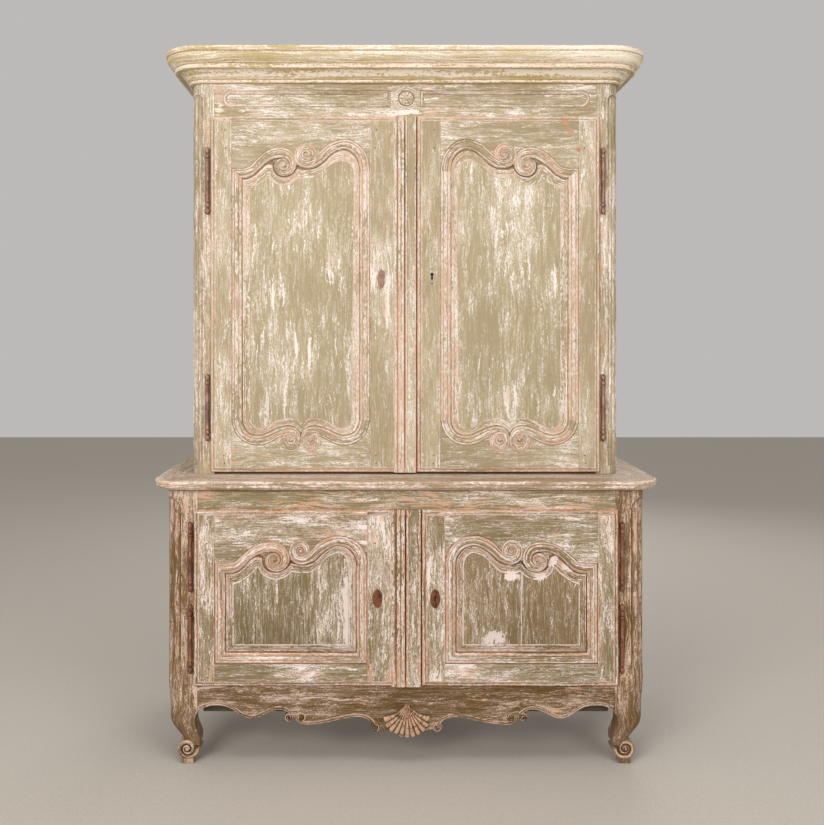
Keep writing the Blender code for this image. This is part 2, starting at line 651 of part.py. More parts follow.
# The shaped foot of the upper openings, half of it, drawn for an opening 0.452 wide.
FOOT_DRAWN_WIDTH = 0.452
FOOT_RISE = 0.083
FOOT_COUNTS = (5, 5, 2)
FOOT_SPANS = {
    "outer": (((0.0, 0.083), (0.0, 0.035), (0.035, 0.0), (0.085, 0.0)),
              ((0.085, 0.0), (0.125, 0.0), (0.145, 0.036), (0.188, 0.036)),
              ((0.188, 0.036), (0.205, 0.036), (0.216, 0.032), (0.226, 0.026))),
    "lip": (((0.034, 0.083), (0.034, 0.060), (0.055, 0.033), (0.085, 0.033)),
            ((0.085, 0.033), (0.120, 0.033), (0.145, 0.063), (0.190, 0.063)),
            ((0.190, 0.063), (0.208, 0.063), (0.220, 0.052), (0.226, 0.038))),
    "field": (((0.060, 0.083), (0.060, 0.068), (0.070, 0.052), (0.088, 0.052)),
              ((0.088, 0.052), (0.118, 0.052), (0.140, 0.088), (0.186, 0.088)),
              ((0.186, 0.088), (0.204, 0.088), (0.219, 0.080), (0.226, 0.072)))}
SQUARE_CORNER = {"outer": 0.0, "lip": MOULDING_WIDTH, "field": MOULDING_WIDTH + BORDER_WIDTH}
# Volutes as centre, radius, start angle in degrees and turns, on the same drawings.
TOP_VOLUTES = ((0.188, 0.010, 0.040, 60.0, -1.5), (0.271, 0.039, 0.030, -100.0, -1.4))
FOOT_VOLUTES = ((0.194, 0.019, 0.029, 75.0, -1.4),)


class Door:
    # Sizes of one door in the left-hand sense, with x growing from the hinge to the meeting edge.
    def __init__(self, tier, side):
        self.side = side
        self.upper = tier == "upper"
        self.name = tier + ("_left" if side < 0 else "_right") + "_door"
        self.edge = UPPER_DOOR_EDGE if self.upper else BASE_DOOR_EDGE
        self.front = UPPER_FRONT if self.upper else BASE_FRONT
        strip = UPPER_STRIP_WIDTH if self.upper else BASE_STRIP_WIDTH
        self.strip_half = strip / 2
        self.meeting = self.strip_half if side < 0 else self.strip_half + MEETING_GAP
        self.bottom = UPPER_DOOR_BOTTOM if self.upper else BASE_DOOR_BOTTOM
        self.top = UPPER_DOOR_TOP if self.upper else BASE_DOOR_TOP
        self.shoulder = self.top - (UPPER_SHOULDER_DROP if self.upper else BASE_SHOULDER_DROP)
        self.rise = UPPER_ARCH_RISE if self.upper else BASE_ARCH_RISE
        self.sill = self.bottom + (UPPER_BOTTOM_RAIL if self.upper else BASE_BOTTOM_RAIL)
        self.hinge_heights = UPPER_HINGE_HEIGHTS if self.upper else BASE_HINGE_HEIGHTS
        share = UPPER_LOCK_SHARE if self.upper else BASE_LOCK_SHARE
        self.lock_height = self.bottom + (self.top - self.bottom) * share
        self.low_x = self.edge - (UPPER_STILE if self.upper else BASE_STILE)
        meeting_stile = UPPER_MEETING_STILE if self.upper else BASE_MEETING_STILE
        self.high_x = self.strip_half + meeting_stile
        self.width = self.low_x - self.high_x
        self.lock_x = -self.high_x + (self.high_x - self.meeting) * KEYHOLE_SHARE
        self.body_low = self.bottom + (LIP_CLEAR if self.upper else DOOR_LAP + DOOR_CLEAR)
        self.body_high = self.top - DOOR_LAP - DOOR_CLEAR
        self.face = self.front - LIP_CLEAR - DOOR_PROUD
        self.back = self.front + DOOR_BODY
        self.axis = Vector((side * (self.edge + HINGE_OFFSET), self.front - HINGE_STAND, 0.0))

    def outline(self, line):
        across = self.width / DRAWN_WIDTH
        up = self.rise / DRAWN_RISE
        points = [(x * across, self.shoulder + z * up) for x, z in curve(TOP_SPANS[line], TOP_COUNTS)]
        last = TOP_SPANS[line][-1][-1]
        points.append((last[0] * across, self.shoulder + last[1] * up))
        if self.upper:
            across = self.width / FOOT_DRAWN_WIDTH
            half = [(x * across, self.sill + z) for x, z in curve(FOOT_SPANS[line], FOOT_COUNTS)]
            middle = FOOT_SPANS[line][-1][-1]
            points += [(self.width - x, z) for x, z in half]
            points.append((middle[0] * across, self.sill + middle[1]))
            points += half[::-1]
        else:
            inset = SQUARE_CORNER[line]
            points += [(self.width - inset, self.sill + inset), (inset, self.sill + inset)]
        return [(-self.low_x + x, z) for x, z in points]


def between(first, second, share):
    return [(a[0] + (b[0] - a[0]) * share, a[1] + (b[1] - a[1]) * share) for a, b in zip(first, second)]


def at_depth(outline, y):
    return [(x, y, z) for x, z in outline]


def rectangle(left, right, low, high):
    return [(left, high), (right, high), (right, low), (left, low)]


def door_frame(door):
    # The whole frame as one ring: outer edge, face, inner moulding, panel groove and back.
    outer = door.outline("outer")
    lip = door.outline("lip")
    body = rectangle(-door.edge + DOOR_LAP + DOOR_CLEAR, -door.meeting - LIP_CLEAR,
                     door.body_low, door.body_high)
    lap = door.front - LIP_CLEAR
    outside = [at_depth(body, door.back), at_depth(body, lap)]
    for inset, depth in ((0.0, DOOR_PROUD), (0.0, EDGE_DEPTH), (DOOR_EDGE / 3, EDGE_ROUND),
                         (DOOR_EDGE, EDGE_QUIRK), (DOOR_EDGE, 0.0)):
        edge = rectangle(-door.edge + inset, -door.meeting - inset, door.bottom + inset, door.top - inset)
        outside.append(at_depth(edge, door.face + depth))
    inside = [at_depth(between(outer, lip, share), door.face + depth) for share, depth in
              ((0.0, 0.0), (0.02, QUIRK_DEPTH), (0.50, BAND_DEPTH), (1.0, LIP_DEPTH), (1.0, GROOVE_FRONT),
               (GROOVE_SHARE, GROOVE_FRONT), (GROOVE_SHARE, GROOVE_BACK), (1.0, GROOVE_BACK))]
    inside.append(at_depth(lip, door.back))
    bm = bmesh.new()
    open_ends = []
    for chain in (outside, inside):
        rings = [[bm.verts.new(point) for point in loop] for loop in chain]
        count = len(rings[0])
        for ring, following in zip(rings, rings[1:]):
            for i in range(count):
                j = (i + 1) % count
                bm.faces.new((ring[i], ring[j], following[j], following[i]))
        open_ends.append([[bm.edges.get((ring[i], ring[(i + 1) % count])) for i in range(count)]
                          for ring in (rings[0], rings[-1])])
    (body_back, face_outer), (face_inner, lip_back) = open_ends
    bmesh.ops.triangle_fill(bm, use_beauty=True, edges=face_outer + face_inner)
    bmesh.ops.triangle_fill(bm, use_beauty=True, edges=body_back + lip_back)
    return mesh_from(bm, "frame")


def door_panel(door, parent):
    # A fielded panel whose tongue sits loose in the frame's groove.
    outer = door.outline("outer")
    lip = door.outline("lip")
    field = door.outline("field")
    tongue = between(outer, lip, TONGUE_SHARE)
    groove_front = door.face + GROOVE_FRONT + GAP
    loops = [at_depth(tongue, door.face + GROOVE_BACK - GAP), at_depth(tongue, groove_front),
             at_depth(between(lip, field, 0.10), groove_front),
             at_depth(between(lip, field, 0.85), door.face + BORDER_DEPTH),
             at_depth(field, door.face + FIELD_DEPTH)]
    node(door.name + "_panel", mirrored(loft_mesh(loops), -door.side), PANEL_PAINT, parent)


def member_outlines(door):
    # Where the frame is sawn into stiles and rails, seen from the front, half a gap from each joint.
    low = door.bottom - OVERCUT
    high = door.top + OVERCUT
    butt = door.shoulder - BUTT_DROP * door.rise / DRAWN_RISE

    def joint_lines(gap):
        left = -door.low_x + gap
        right = -door.high_x - gap
        inner_left = left + MITRE_REACH
        inner_right = right - MITRE_REACH
        top = [(left, high), (left, door.shoulder), (inner_left, door.shoulder - MITRE_REACH),
               (inner_right, door.shoulder - MITRE_REACH), (inner_right, butt + gap),
               (right, butt + gap), (right, high)]
        if door.upper:
            foot = door.sill + FOOT_RISE - gap
            inner_foot = foot
        else:
            foot = door.sill
            inner_foot = door.sill + MITRE_REACH
        bottom = [(left, low), (left, foot), (inner_left, inner_foot), (inner_right, inner_foot),
                  (right, foot), (right, low)]
        return top, bottom

    top, bottom = joint_lines(GAP / 2)
    stile_top, stile_bottom = joint_lines(-GAP / 2)
    hinge = stile_bottom[2::-1] + [(-door.edge - OVERCUT, low), (-door.edge - OVERCUT, high)] + stile_top[:3]
    meeting = stile_bottom[3:] + [(OVERCUT, low), (OVERCUT, high)] + stile_top[:3:-1]
    return {"hinge_stile": hinge, "meeting_stile": meeting, "top_rail": top, "bottom_rail": bottom}


def door_volutes(door, drawn, drawn_width, base, up, sides):
    ridges = []
    across = door.width / drawn_width
    for x, z, radius, start, turns in drawn:
        for flip in sides:
            offset = x * across if flip > 0 else door.width - x * across
            centre = (-door.low_x + offset, base + z * up)
            angle = math.radians(start) if flip > 0 else math.radians(180.0 - start)
            ridges.append(spiral_ridge(centre, radius - VOLUTE_WIDTH / 2, VOLUTE_EYE, angle, turns * flip,
                                       VOLUTE_WIDTH, door.face - VOLUTE_PROUD, door.face + VOLUTE_ROOT))
    return ridges


def keyhole_mesh(x, z, front, back):
    round_part = arc((x, z), (KEYHOLE_RADIUS, KEYHOLE_RADIUS), math.radians(-60), math.radians(240), 10)
    half = KEYHOLE_SLOT / 2
    slot = [(x - half, z - KEYHOLE_DROP), (x + half, z - KEYHOLE_DROP)]
    return prism_mesh(round_part + slot, 1, front, back)


def door_hinge_slot(door, split):
    half = BLADE_THICK / 2 + GAP
    low = split + BLADE_MARGIN - GAP
    end = door.edge - BLADE_DEPTH - GAP
    return box_mesh((-door.edge - OVERCUT, door.axis.y - half, low),
                    (-end, door.axis.y + half, low + BLADE_HEIGHT + 2 * GAP))


def door_members(door, parent):
    flip = -door.side
    for part, outline in member_outlines(door).items():
        made = node(door.name + "_" + part, mirrored(door_frame(door), flip), DOOR_PAINT, parent)
        region = prism_mesh(outline, 1, door.face - OVERCUT, door.back + OVERCUT)
        boolean(made, hidden_tool(made.name + "_region", mirrored(region, flip)), "INTERSECT")
        if part == "hinge_stile":
            slots = [mirrored(door_hinge_slot(door, split), flip) for split in door.hinge_heights]
            cut(made, "slots", *slots)
        if part == "top_rail":
            up = door.rise / DRAWN_RISE
            ridges = door_volutes(door, TOP_VOLUTES, DRAWN_WIDTH, door.shoulder, up, (1,))
            for i, ridge in enumerate(ridges):
                join(made, "volute_" + str(i), mirrored(ridge, flip))
        if part == "bottom_rail" and door.upper:
            ridges = door_volutes(door, FOOT_VOLUTES, FOOT_DRAWN_WIDTH, door.sill, 1.0, (1, -1))
            for i, ridge in enumerate(ridges):
                join(made, "volute_" + str(i), mirrored(ridge, flip))
        if part == "meeting_stile" and door.side < 0:
            seat = door.face - STRIP_PROUD + STRIP_THICK
            rebate = box_mesh((-door.meeting - DOOR_EDGE * 2, seat, door.body_low + GAP),
                              (door.meeting, door.back - GAP, door.body_high - GAP))
            join(made, "rebate", rebate)
        if part == "meeting_stile" and door.side > 0:
            hole = keyhole_mesh(door.lock_x, door.lock_height, door.face - OVERCUT, door.back + OVERCUT)
            cut(made, "keyhole", mirrored(hole, flip))


def closing_strip(door, parent):
    # A moulded strip over the gap, carried by the left door, with a sunk groove down its middle.
    half = door.strip_half - GAP
    front = door.face - STRIP_PROUD
    groove = STRIP_GROOVE / 2
    step = front + STRIP_STEP
    side = [(half, front + STRIP_THICK - GAP), (half, step + STRIP_STEP), (half - STRIP_STEP, step),
            (half - STRIP_BEAD, step), (half - STRIP_BEAD - STRIP_STEP / 2, front), (groove, front),
            (groove / 2, front + STRIP_GROOVE)]
    outline = [(-x, y) for x, y in side] + side[::-1]
    node(door.name + "_strip", prism_mesh(outline, 2, door.bottom, door.top), DOOR_PAINT, parent)


# Hinge halves turned about the pin: the lower one stays on the post, the upper one lifts off with the door
def finial(sign):
    neck = HINGE_LENGTH / 2 - HINGE_FINIAL
    # Ring, neck, bulb and tip: radius as a share of the barrel, height as a share of the finial.
    shape = ((1.0, 0.0), (1.15, 0.07), (0.55, 0.21), (0.95, 0.52), (0.5, 0.86), (0.0, 1.0))
    return [(BARREL_RADIUS * radius, sign * (neck + HINGE_FINIAL * rise)) for radius, rise in shape]


def hinge_half_mesh(on_door, side):
    half = BLADE_THICK / 2
    if on_door:
        profile = [(0.0, PIN_LENGTH + 2 * GAP), (BORE_RADIUS, PIN_LENGTH + 2 * GAP), (BORE_RADIUS, GAP / 2),
                   (BARREL_RADIUS, GAP / 2)] + finial(1)
        reach = HINGE_OFFSET + BLADE_DEPTH
        start = (BORE_RADIUS + BARREL_RADIUS) / 2
        low, high = sorted((-side * start, -side * reach))
        blade = box_mesh((low, -half, BLADE_MARGIN), (high, half, BLADE_MARGIN + BLADE_HEIGHT))
    else:
        profile = finial(-1)[::-1] + [(BARREL_RADIUS, -GAP / 2), (PIN_RADIUS, -GAP / 2),
                                      (PIN_RADIUS, PIN_LENGTH), (0.0, PIN_LENGTH)]
        blade = box_mesh((-half, 0.0, -BLADE_MARGIN - BLADE_HEIGHT), (half, BLADE_DEPTH, -BLADE_MARGIN))
    return turned_mesh(profile, HINGE_SIDES), blade


def hinges(door, parent):
    for split, place in zip(door.hinge_heights, ("bottom", "top")):
        for on_door, word in ((False, "post"), (True, "door")):
            turned, blade = hinge_half_mesh(on_door, door.side)
            move = Matrix.Translation(door.axis + Vector((0, 0, split)))
            turned.transform(move)
            blade.transform(move)
            name = door.name.replace("_door", "") + "_" + place + "_hinge_" + word + "_half"
            made = node(name, turned, RUSTY_IRON, parent if on_door else None)
            join(made, "blade", blade)
            round_shading(made)


# Iron locks behind the right-hand doors, and the lower pair of plates
def lock(door, parent):
    bm = bmesh.new()
    size = (LOCK_WIDTH, LOCK_THICK, LOCK_HEIGHT)
    right = -door.meeting - GAP
    middle = Vector((right - LOCK_WIDTH / 2, door.back + GAP + LOCK_THICK / 2, door.lock_height))
    bmesh.ops.create_cube(bm, size=1.0, matrix=Matrix.Translation(middle) @ Matrix.Diagonal((*size, 1.0)))
    edges = [e for e in bm.edges if all(v.co.y > middle.y for v in e.verts)]
    bmesh.ops.bevel(bm, geom=edges, offset=LOCK_BEVEL, segments=1, profile=0.5, affect="EDGES", material=-1)
    made = node(door.name + "_lock", mirrored(mesh_from(bm, "lock"), -door.side), RUSTY_IRON, parent)
    hole = keyhole_mesh(door.lock_x, door.lock_height, door.back - OVERCUT,
                        door.back + LOCK_THICK * LOCK_MORTISE)
    cut(made, "keyhole", mirrored(hole, -door.side))


def escutcheon(door, parent):
    radii = (PLATE_WIDTH / 2, PLATE_HEIGHT / 2)
    oval = arc((door.lock_x, door.lock_height), radii, 0.0, 2 * math.pi, 16)[:-1]
    plate = prism_mesh(oval, 1, door.face - GAP - PLATE_THICK, door.face - GAP)
    made = node(door.name + "_escutcheon", mirrored(plate, -door.side), RUSTY_IRON, parent)
    if door.side > 0:
        hole = keyhole_mesh(door.lock_x, door.lock_height, door.face - OVERCUT, door.face + OVERCUT)
        cut(made, "keyhole", mirrored(hole, -door.side))


def doors():
    for tier in ("upper", "lower"):
        for side in (-1, 1):
            door = Door(tier, side)
            parent = pivot(door.name + "_axis", door.axis)
            door_members(door, parent)
            door_panel(door, parent)
            hinges(door, parent)
            if side < 0:
                closing_strip(door, parent)
            else:
                lock(door, parent)
            if not door.upper:
                escutcheon(door, parent)


base_posts()
upper_posts()
sides()
boards()
buffet_top()
base_top_rail()
apron()
frieze()
cornice()
doors()
bpy.context.view_layer.update()
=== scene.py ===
import math
import random
import bpy
import bmesh
from mathutils import Matrix, Vector


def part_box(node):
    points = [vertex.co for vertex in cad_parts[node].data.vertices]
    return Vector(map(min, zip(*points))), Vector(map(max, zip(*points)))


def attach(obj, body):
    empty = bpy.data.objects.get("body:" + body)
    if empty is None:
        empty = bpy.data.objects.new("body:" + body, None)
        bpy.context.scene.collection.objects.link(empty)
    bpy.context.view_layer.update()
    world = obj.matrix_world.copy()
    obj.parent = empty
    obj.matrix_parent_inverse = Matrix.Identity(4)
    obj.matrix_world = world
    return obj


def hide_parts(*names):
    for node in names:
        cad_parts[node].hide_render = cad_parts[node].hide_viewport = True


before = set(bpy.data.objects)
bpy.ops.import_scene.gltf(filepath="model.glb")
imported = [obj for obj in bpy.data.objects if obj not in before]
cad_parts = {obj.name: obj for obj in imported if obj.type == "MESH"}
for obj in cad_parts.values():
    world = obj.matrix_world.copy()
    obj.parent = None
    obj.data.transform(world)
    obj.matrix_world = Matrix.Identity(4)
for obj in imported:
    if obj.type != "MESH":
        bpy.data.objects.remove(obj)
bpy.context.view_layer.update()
scene = bpy.context.scene
scene.view_settings.view_transform = "Standard"
print("frame loaded,", len(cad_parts), "nodes")

# camera, floor and light
cameraSettings = {"place": (-0.076, -3.269, 1.355), "lens": 41.56, "shift": (0.0364, -0.0976)}
roomSettings = {
    "floorColour": (0.52, 0.47, 0.41, 1), "floorSize": 9.0, "skyColour": (1.0, 0.985, 0.96, 1), "skyPower": 0.5,
    # name, place, aim, size, power
    "lamps": [("keyLamp", (-2.5, -4.5, 2.5), (0, 0, 1.1), 2.4, 165),
              ("fillLamp", (2.8, -4.2, 1.9), (0, 0, 1.0), 2.4, 80), ("topLamp", (0, -1.0, 4.4), (0, 0, 1.5), 2.0, 45),
              ("backLamp", (1.2, 3.6, 2.8), (0, 0, 1.2), 2.4, 50)],
}


class Flow:
    # a shader socket that takes part in plain expressions
    def __init__(self, tree, socket=None):
        self.tree = tree
        self.socket = socket

    def add(self, kind, settings, sockets, out=0):
        node = self.tree.nodes.new(kind)
        for key, value in settings.items():
            setattr(node, key, value)
        for key, value in sockets.items():
            if isinstance(value, Flow):
                self.tree.links.new(value.socket, node.inputs[key])
            else:
                node.inputs[key].default_value = value
        return Flow(self.tree, node.outputs[out] if node.outputs else None)

    def maths(self, operation, first, second):
        return self.add("ShaderNodeMath", {"operation": operation}, {0: first, 1: second})

    def __add__(self, other):
        return self.maths("ADD", self, other)

    def __radd__(self, other):
        return self.maths("ADD", other, self)

    def __sub__(self, other):
        return self.maths("SUBTRACT", self, other)

    def __rsub__(self, other):
        return self.maths("SUBTRACT", other, self)

    def __mul__(self, other):
        return self.maths("MULTIPLY", self, other)

    def __rmul__(self, other):
        return self.maths("MULTIPLY", other, self)

    def most(self, other):
        return self.maths("MAXIMUM", self, other)

    def swing(self, amount):  # a noise, either side of nothing
        return (self - 0.5) * amount

    def step(self, low, high):  # soft threshold, 0 below low and 1 above high
        return self.add("ShaderNodeMapRange", {"interpolation_type": "SMOOTHSTEP"},
                        {"Value": self, "From Min": low, "From Max": high})

    def mix(self, under, over):  # colour under where this is 0, over where it is 1
        return self.add("ShaderNodeMix", {"data_type": "RGBA"}, {0: self, 6: under, 7: over}, 2)

    def vector(self, operation, first, second, out=0):
        return self.add("ShaderNodeVectorMath", {"operation": operation}, {0: first, 1: second}, out)

    def noise(self, scale, seed, detail=3.0, roughness=0.6):
        drawn = self.vector("ADD", self.vector("MULTIPLY", self, scale), (seed, seed * 1.7, seed * 0.6))
        return self.add("ShaderNodeTexNoise", {"noise_dimensions": "3D"},
                        {"Vector": drawn, "Scale": 1.0, "Detail": detail, "Roughness": roughness})

    def stain(self, name):  # wear and painted highlight, or dirt and painted shade, as laid on the points of a piece
        return self.add("ShaderNodeAttribute", {"attribute_name": name}, {}, 2)

    def grain(self):
        return self.add("ShaderNodeUVMap", {"uv_map": "grain"}, {})

    def place(self):
        return self.add("ShaderNodeTexCoord", {}, {}, 3)

    def bump(self, strength, distance):
        return self.add("ShaderNodeBump", {}, {"Height": self, "Strength": strength, "Distance": distance})


def startMaterial(name):
    material = bpy.data.materials.new(name)
    material.use_nodes = True
    material.node_tree.nodes.clear()
    return material, Flow(material.node_tree)


def closeMaterial(material, flow, sockets):
    shader = flow.add("ShaderNodeBsdfPrincipled", {}, sockets)
    flow.add("ShaderNodeOutputMaterial", {}, {"Surface": shader})
    return material


def rgba(tone, shares=(1, 1, 1)):
    return (*(c * share for c, share in zip(tone, shares)), 1)


# aged paint: bare wood, then an off-white ground, then olive paint, rubbed through on every arris
# olive and deep are the two tones of the paint, soil lies in the recesses; deep and the soil tone also paint shade
# where a piece's dirt-and-shade values stand for shade a higher number shows more ground, bare wood, rubbing, or
# grime and painted shade
paintLooks = {
    "upperDoor": {"olive": (0.422, 0.337, 0.207), "deep": (0.318, 0.245, 0.142), "ground": (0.74, 0.652, 0.582),
                  "pink": (0.6, 0.395, 0.292), "soilAndShade": (0.37, 0.185, 0.09), "flakes": -0.022, "bare": -0.01,
                  "rub": 0.1, "wash": 0.2, "hairs": 0.16, "grimeAndShade": 0.85, "drip": -0.014, "front": -0.1595,
                  "scuffs": [(0.5249, 2.0342, 0.044, 0.012, -57, (0.5, 0.235, 0.145)),
                             (0.567, 1.95, 0.01, 0.008, 0, (0.47, 0.2, 0.115))]},
    "upperPanel": {"olive": (0.41, 0.327, 0.198), "deep": (0.33, 0.258, 0.148), "ground": (0.77, 0.69, 0.62),
                   "pink": (0.6, 0.405, 0.305), "soilAndShade": (0.33, 0.17, 0.085), "flakes": -0.012, "bare": -0.02,
                   "rub": 0.12, "hairs": 0.12, "grimeAndShade": 0.85, "drip": 0.024},
    "upperCase": {"olive": (0.41, 0.322, 0.19), "deep": (0.29, 0.222, 0.118), "ground": (0.8, 0.71, 0.635),
                  "pink": (0.66, 0.455, 0.345), "soilAndShade": (0.27, 0.138, 0.07), "flakes": 0.002, "bare": 0.02,
                  "rub": 0.05, "grimeAndShade": 0.9, "front": -0.147,
                  "scuffs": [(-0.612, 2.137, 0.019, 0.033, 0, (0.6, 0.42, 0.305)),
                             (-0.609, 2.085, 0.02, 0.024, 0, (0.72, 0.625, 0.5))]},
    "cornice": {"olive": (0.6, 0.485, 0.315), "deep": (0.425, 0.312, 0.124), "ground": (0.84, 0.752, 0.63),
                "pink": (0.83, 0.66, 0.53), "soilAndShade": (0.28, 0.16, 0.065), "flakes": 0.018, "bare": -0.02, "rub": 0.0,
                "grimeAndShade": 0.9, "long": 0.38},
    "lowerDoor": {"olive": (0.27, 0.196, 0.098), "deep": (0.186, 0.13, 0.057), "ground": (0.74, 0.625, 0.56),
                  "pink": (0.57, 0.365, 0.245), "soilAndShade": (0.2, 0.07, 0.024), "flakes": 0.01, "bare": 0.02, "rub": 0.18,
                  "wood": (0.36, 0.13, 0.05), "tan": (0.5, 0.265, 0.145), "grimeAndShade": 1.12, "drip": -0.004},
    "lowerPanel": {"olive": (0.22, 0.158, 0.072), "deep": (0.155, 0.107, 0.045), "ground": (0.68, 0.565, 0.495),
                   "pink": (0.53, 0.345, 0.25), "soilAndShade": (0.2, 0.07, 0.024), "flakes": 0.004, "bare": -0.01,
                   "rub": 0.14, "wood": (0.38, 0.14, 0.055), "tan": (0.5, 0.275, 0.155), "hairs": 0.3, "grimeAndShade": 1.12,
                   "drip": 0.011},
    "lowerCase": {"olive": (0.178, 0.124, 0.05), "deep": (0.122, 0.082, 0.031), "ground": (0.6, 0.48, 0.41),
                  "pink": (0.5, 0.32, 0.23), "soilAndShade": (0.1, 0.05, 0.026), "flakes": 0.004, "bare": 0.02, "rub": 0.04,
                  "wash": 0.2, "grimeAndShade": 1.0},
    "lowerPost": {"olive": (0.192, 0.106, 0.033), "deep": (0.128, 0.068, 0.02), "ground": (0.62, 0.455, 0.355),
                  "pink": (0.53, 0.325, 0.205), "soilAndShade": (0.085, 0.038, 0.014), "flakes": 0.018, "bare": 0.06,
                  "rub": 0.1, "wash": 0.15, "shade": 0.8, "wood": (0.46, 0.215, 0.1), "tan": (0.54, 0.335, 0.205),
                  "grimeAndShade": 1.0, "drip": 0.0},
    "apron": {"olive": (0.141, 0.079, 0.02), "deep": (0.092, 0.048, 0.008), "ground": (0.52, 0.385, 0.31),
              "pink": (0.5, 0.31, 0.225), "soilAndShade": (0.085, 0.042, 0.02), "flakes": -0.006, "bare": 0.03, "rub": 0.05,
              "wash": 0.1, "grimeAndShade": 1.0, "drip": -0.012, "long": 0.8},
    "shell": {"olive": (0.155, 0.086, 0.026), "deep": (0.112, 0.063, 0.019), "ground": (0.56, 0.37, 0.262),
              "pink": (0.5, 0.285, 0.18), "soilAndShade": (0.092, 0.034, 0.006), "flakes": 0.014, "bare": -0.02, "rub": -0.06,
              "grimeAndShade": 0.95},
    "rail": {"olive": (0.3, 0.224, 0.112), "deep": (0.214, 0.158, 0.07), "ground": (0.78, 0.655, 0.575),
             "pink": (0.63, 0.42, 0.31), "soilAndShade": (0.13, 0.066, 0.036), "flakes": 0.014, "bare": 0.085, "rub": 0.04,
             "grimeAndShade": 0.9, "long": 0.8},
    "serving": {"olive": (0.415, 0.286, 0.163), "deep": (0.285, 0.187, 0.102), "ground": (0.83, 0.7, 0.615),
                "pink": (0.68, 0.47, 0.35), "soilAndShade": (0.17, 0.092, 0.048), "flakes": 0.022, "bare": 0.03, "rub": -0.04,
                "shade": 0.7, "grimeAndShade": 0.9, "long": 0.7},
}
paintLooks["upperRail"] = {**paintLooks["upperDoor"], "olive": (0.392, 0.312, 0.188), "deep": (0.292, 0.222, 0.124),
                           "flakes": -0.008, "wash": 0.18}
paintLooks["lowerRail"] = {**paintLooks["lowerDoor"], "flakes": 0.011, "ground": (0.78, 0.665, 0.61)}
paintLooks["lowerPanelRight"] = {
    **paintLooks["lowerPanel"], "olive": (0.243, 0.168, 0.078), "deep": (0.174, 0.115, 0.048),
    "flakes": -0.004, "drip": -0.03, "wash": 0.16, "front": -0.277,
    # pale paint left below the scrolls and low on the left board
    "scuffs": [(x, z, wide, tall, lean, (0.74, 0.62, 0.56)) for x, z, wide, tall, lean in (
        (0.3337, 0.5883, 0.034, 0.017, 0), (0.4222, 0.5852, 0.026, 0.013, 0), (0.4629, 0.6338, 0.024, 0.014, 60),
        (0.5037, 0.6134, 0.024, 0.013, -40), (0.276, 0.392, 0.036, 0.03, 0))],
}
# long below 1 draws the strokes out along the grain
# drip, wash and chalk are runs, thin veils and caked paint on the arrises
# shade sets how far the paint is darkened to deep as painted shade where the dirt-and-shade values are set
paintHabits = {"long": 1.0, "drip": 0.0, "wash": 0.26, "chalk": 0.9, "shade": 0.0, "hairs": 0.24,
               "wood": (0.545, 0.255, 0.125), "tan": (0.62, 0.385, 0.235), "scuffs": [], "scuffDepth": 0.012}


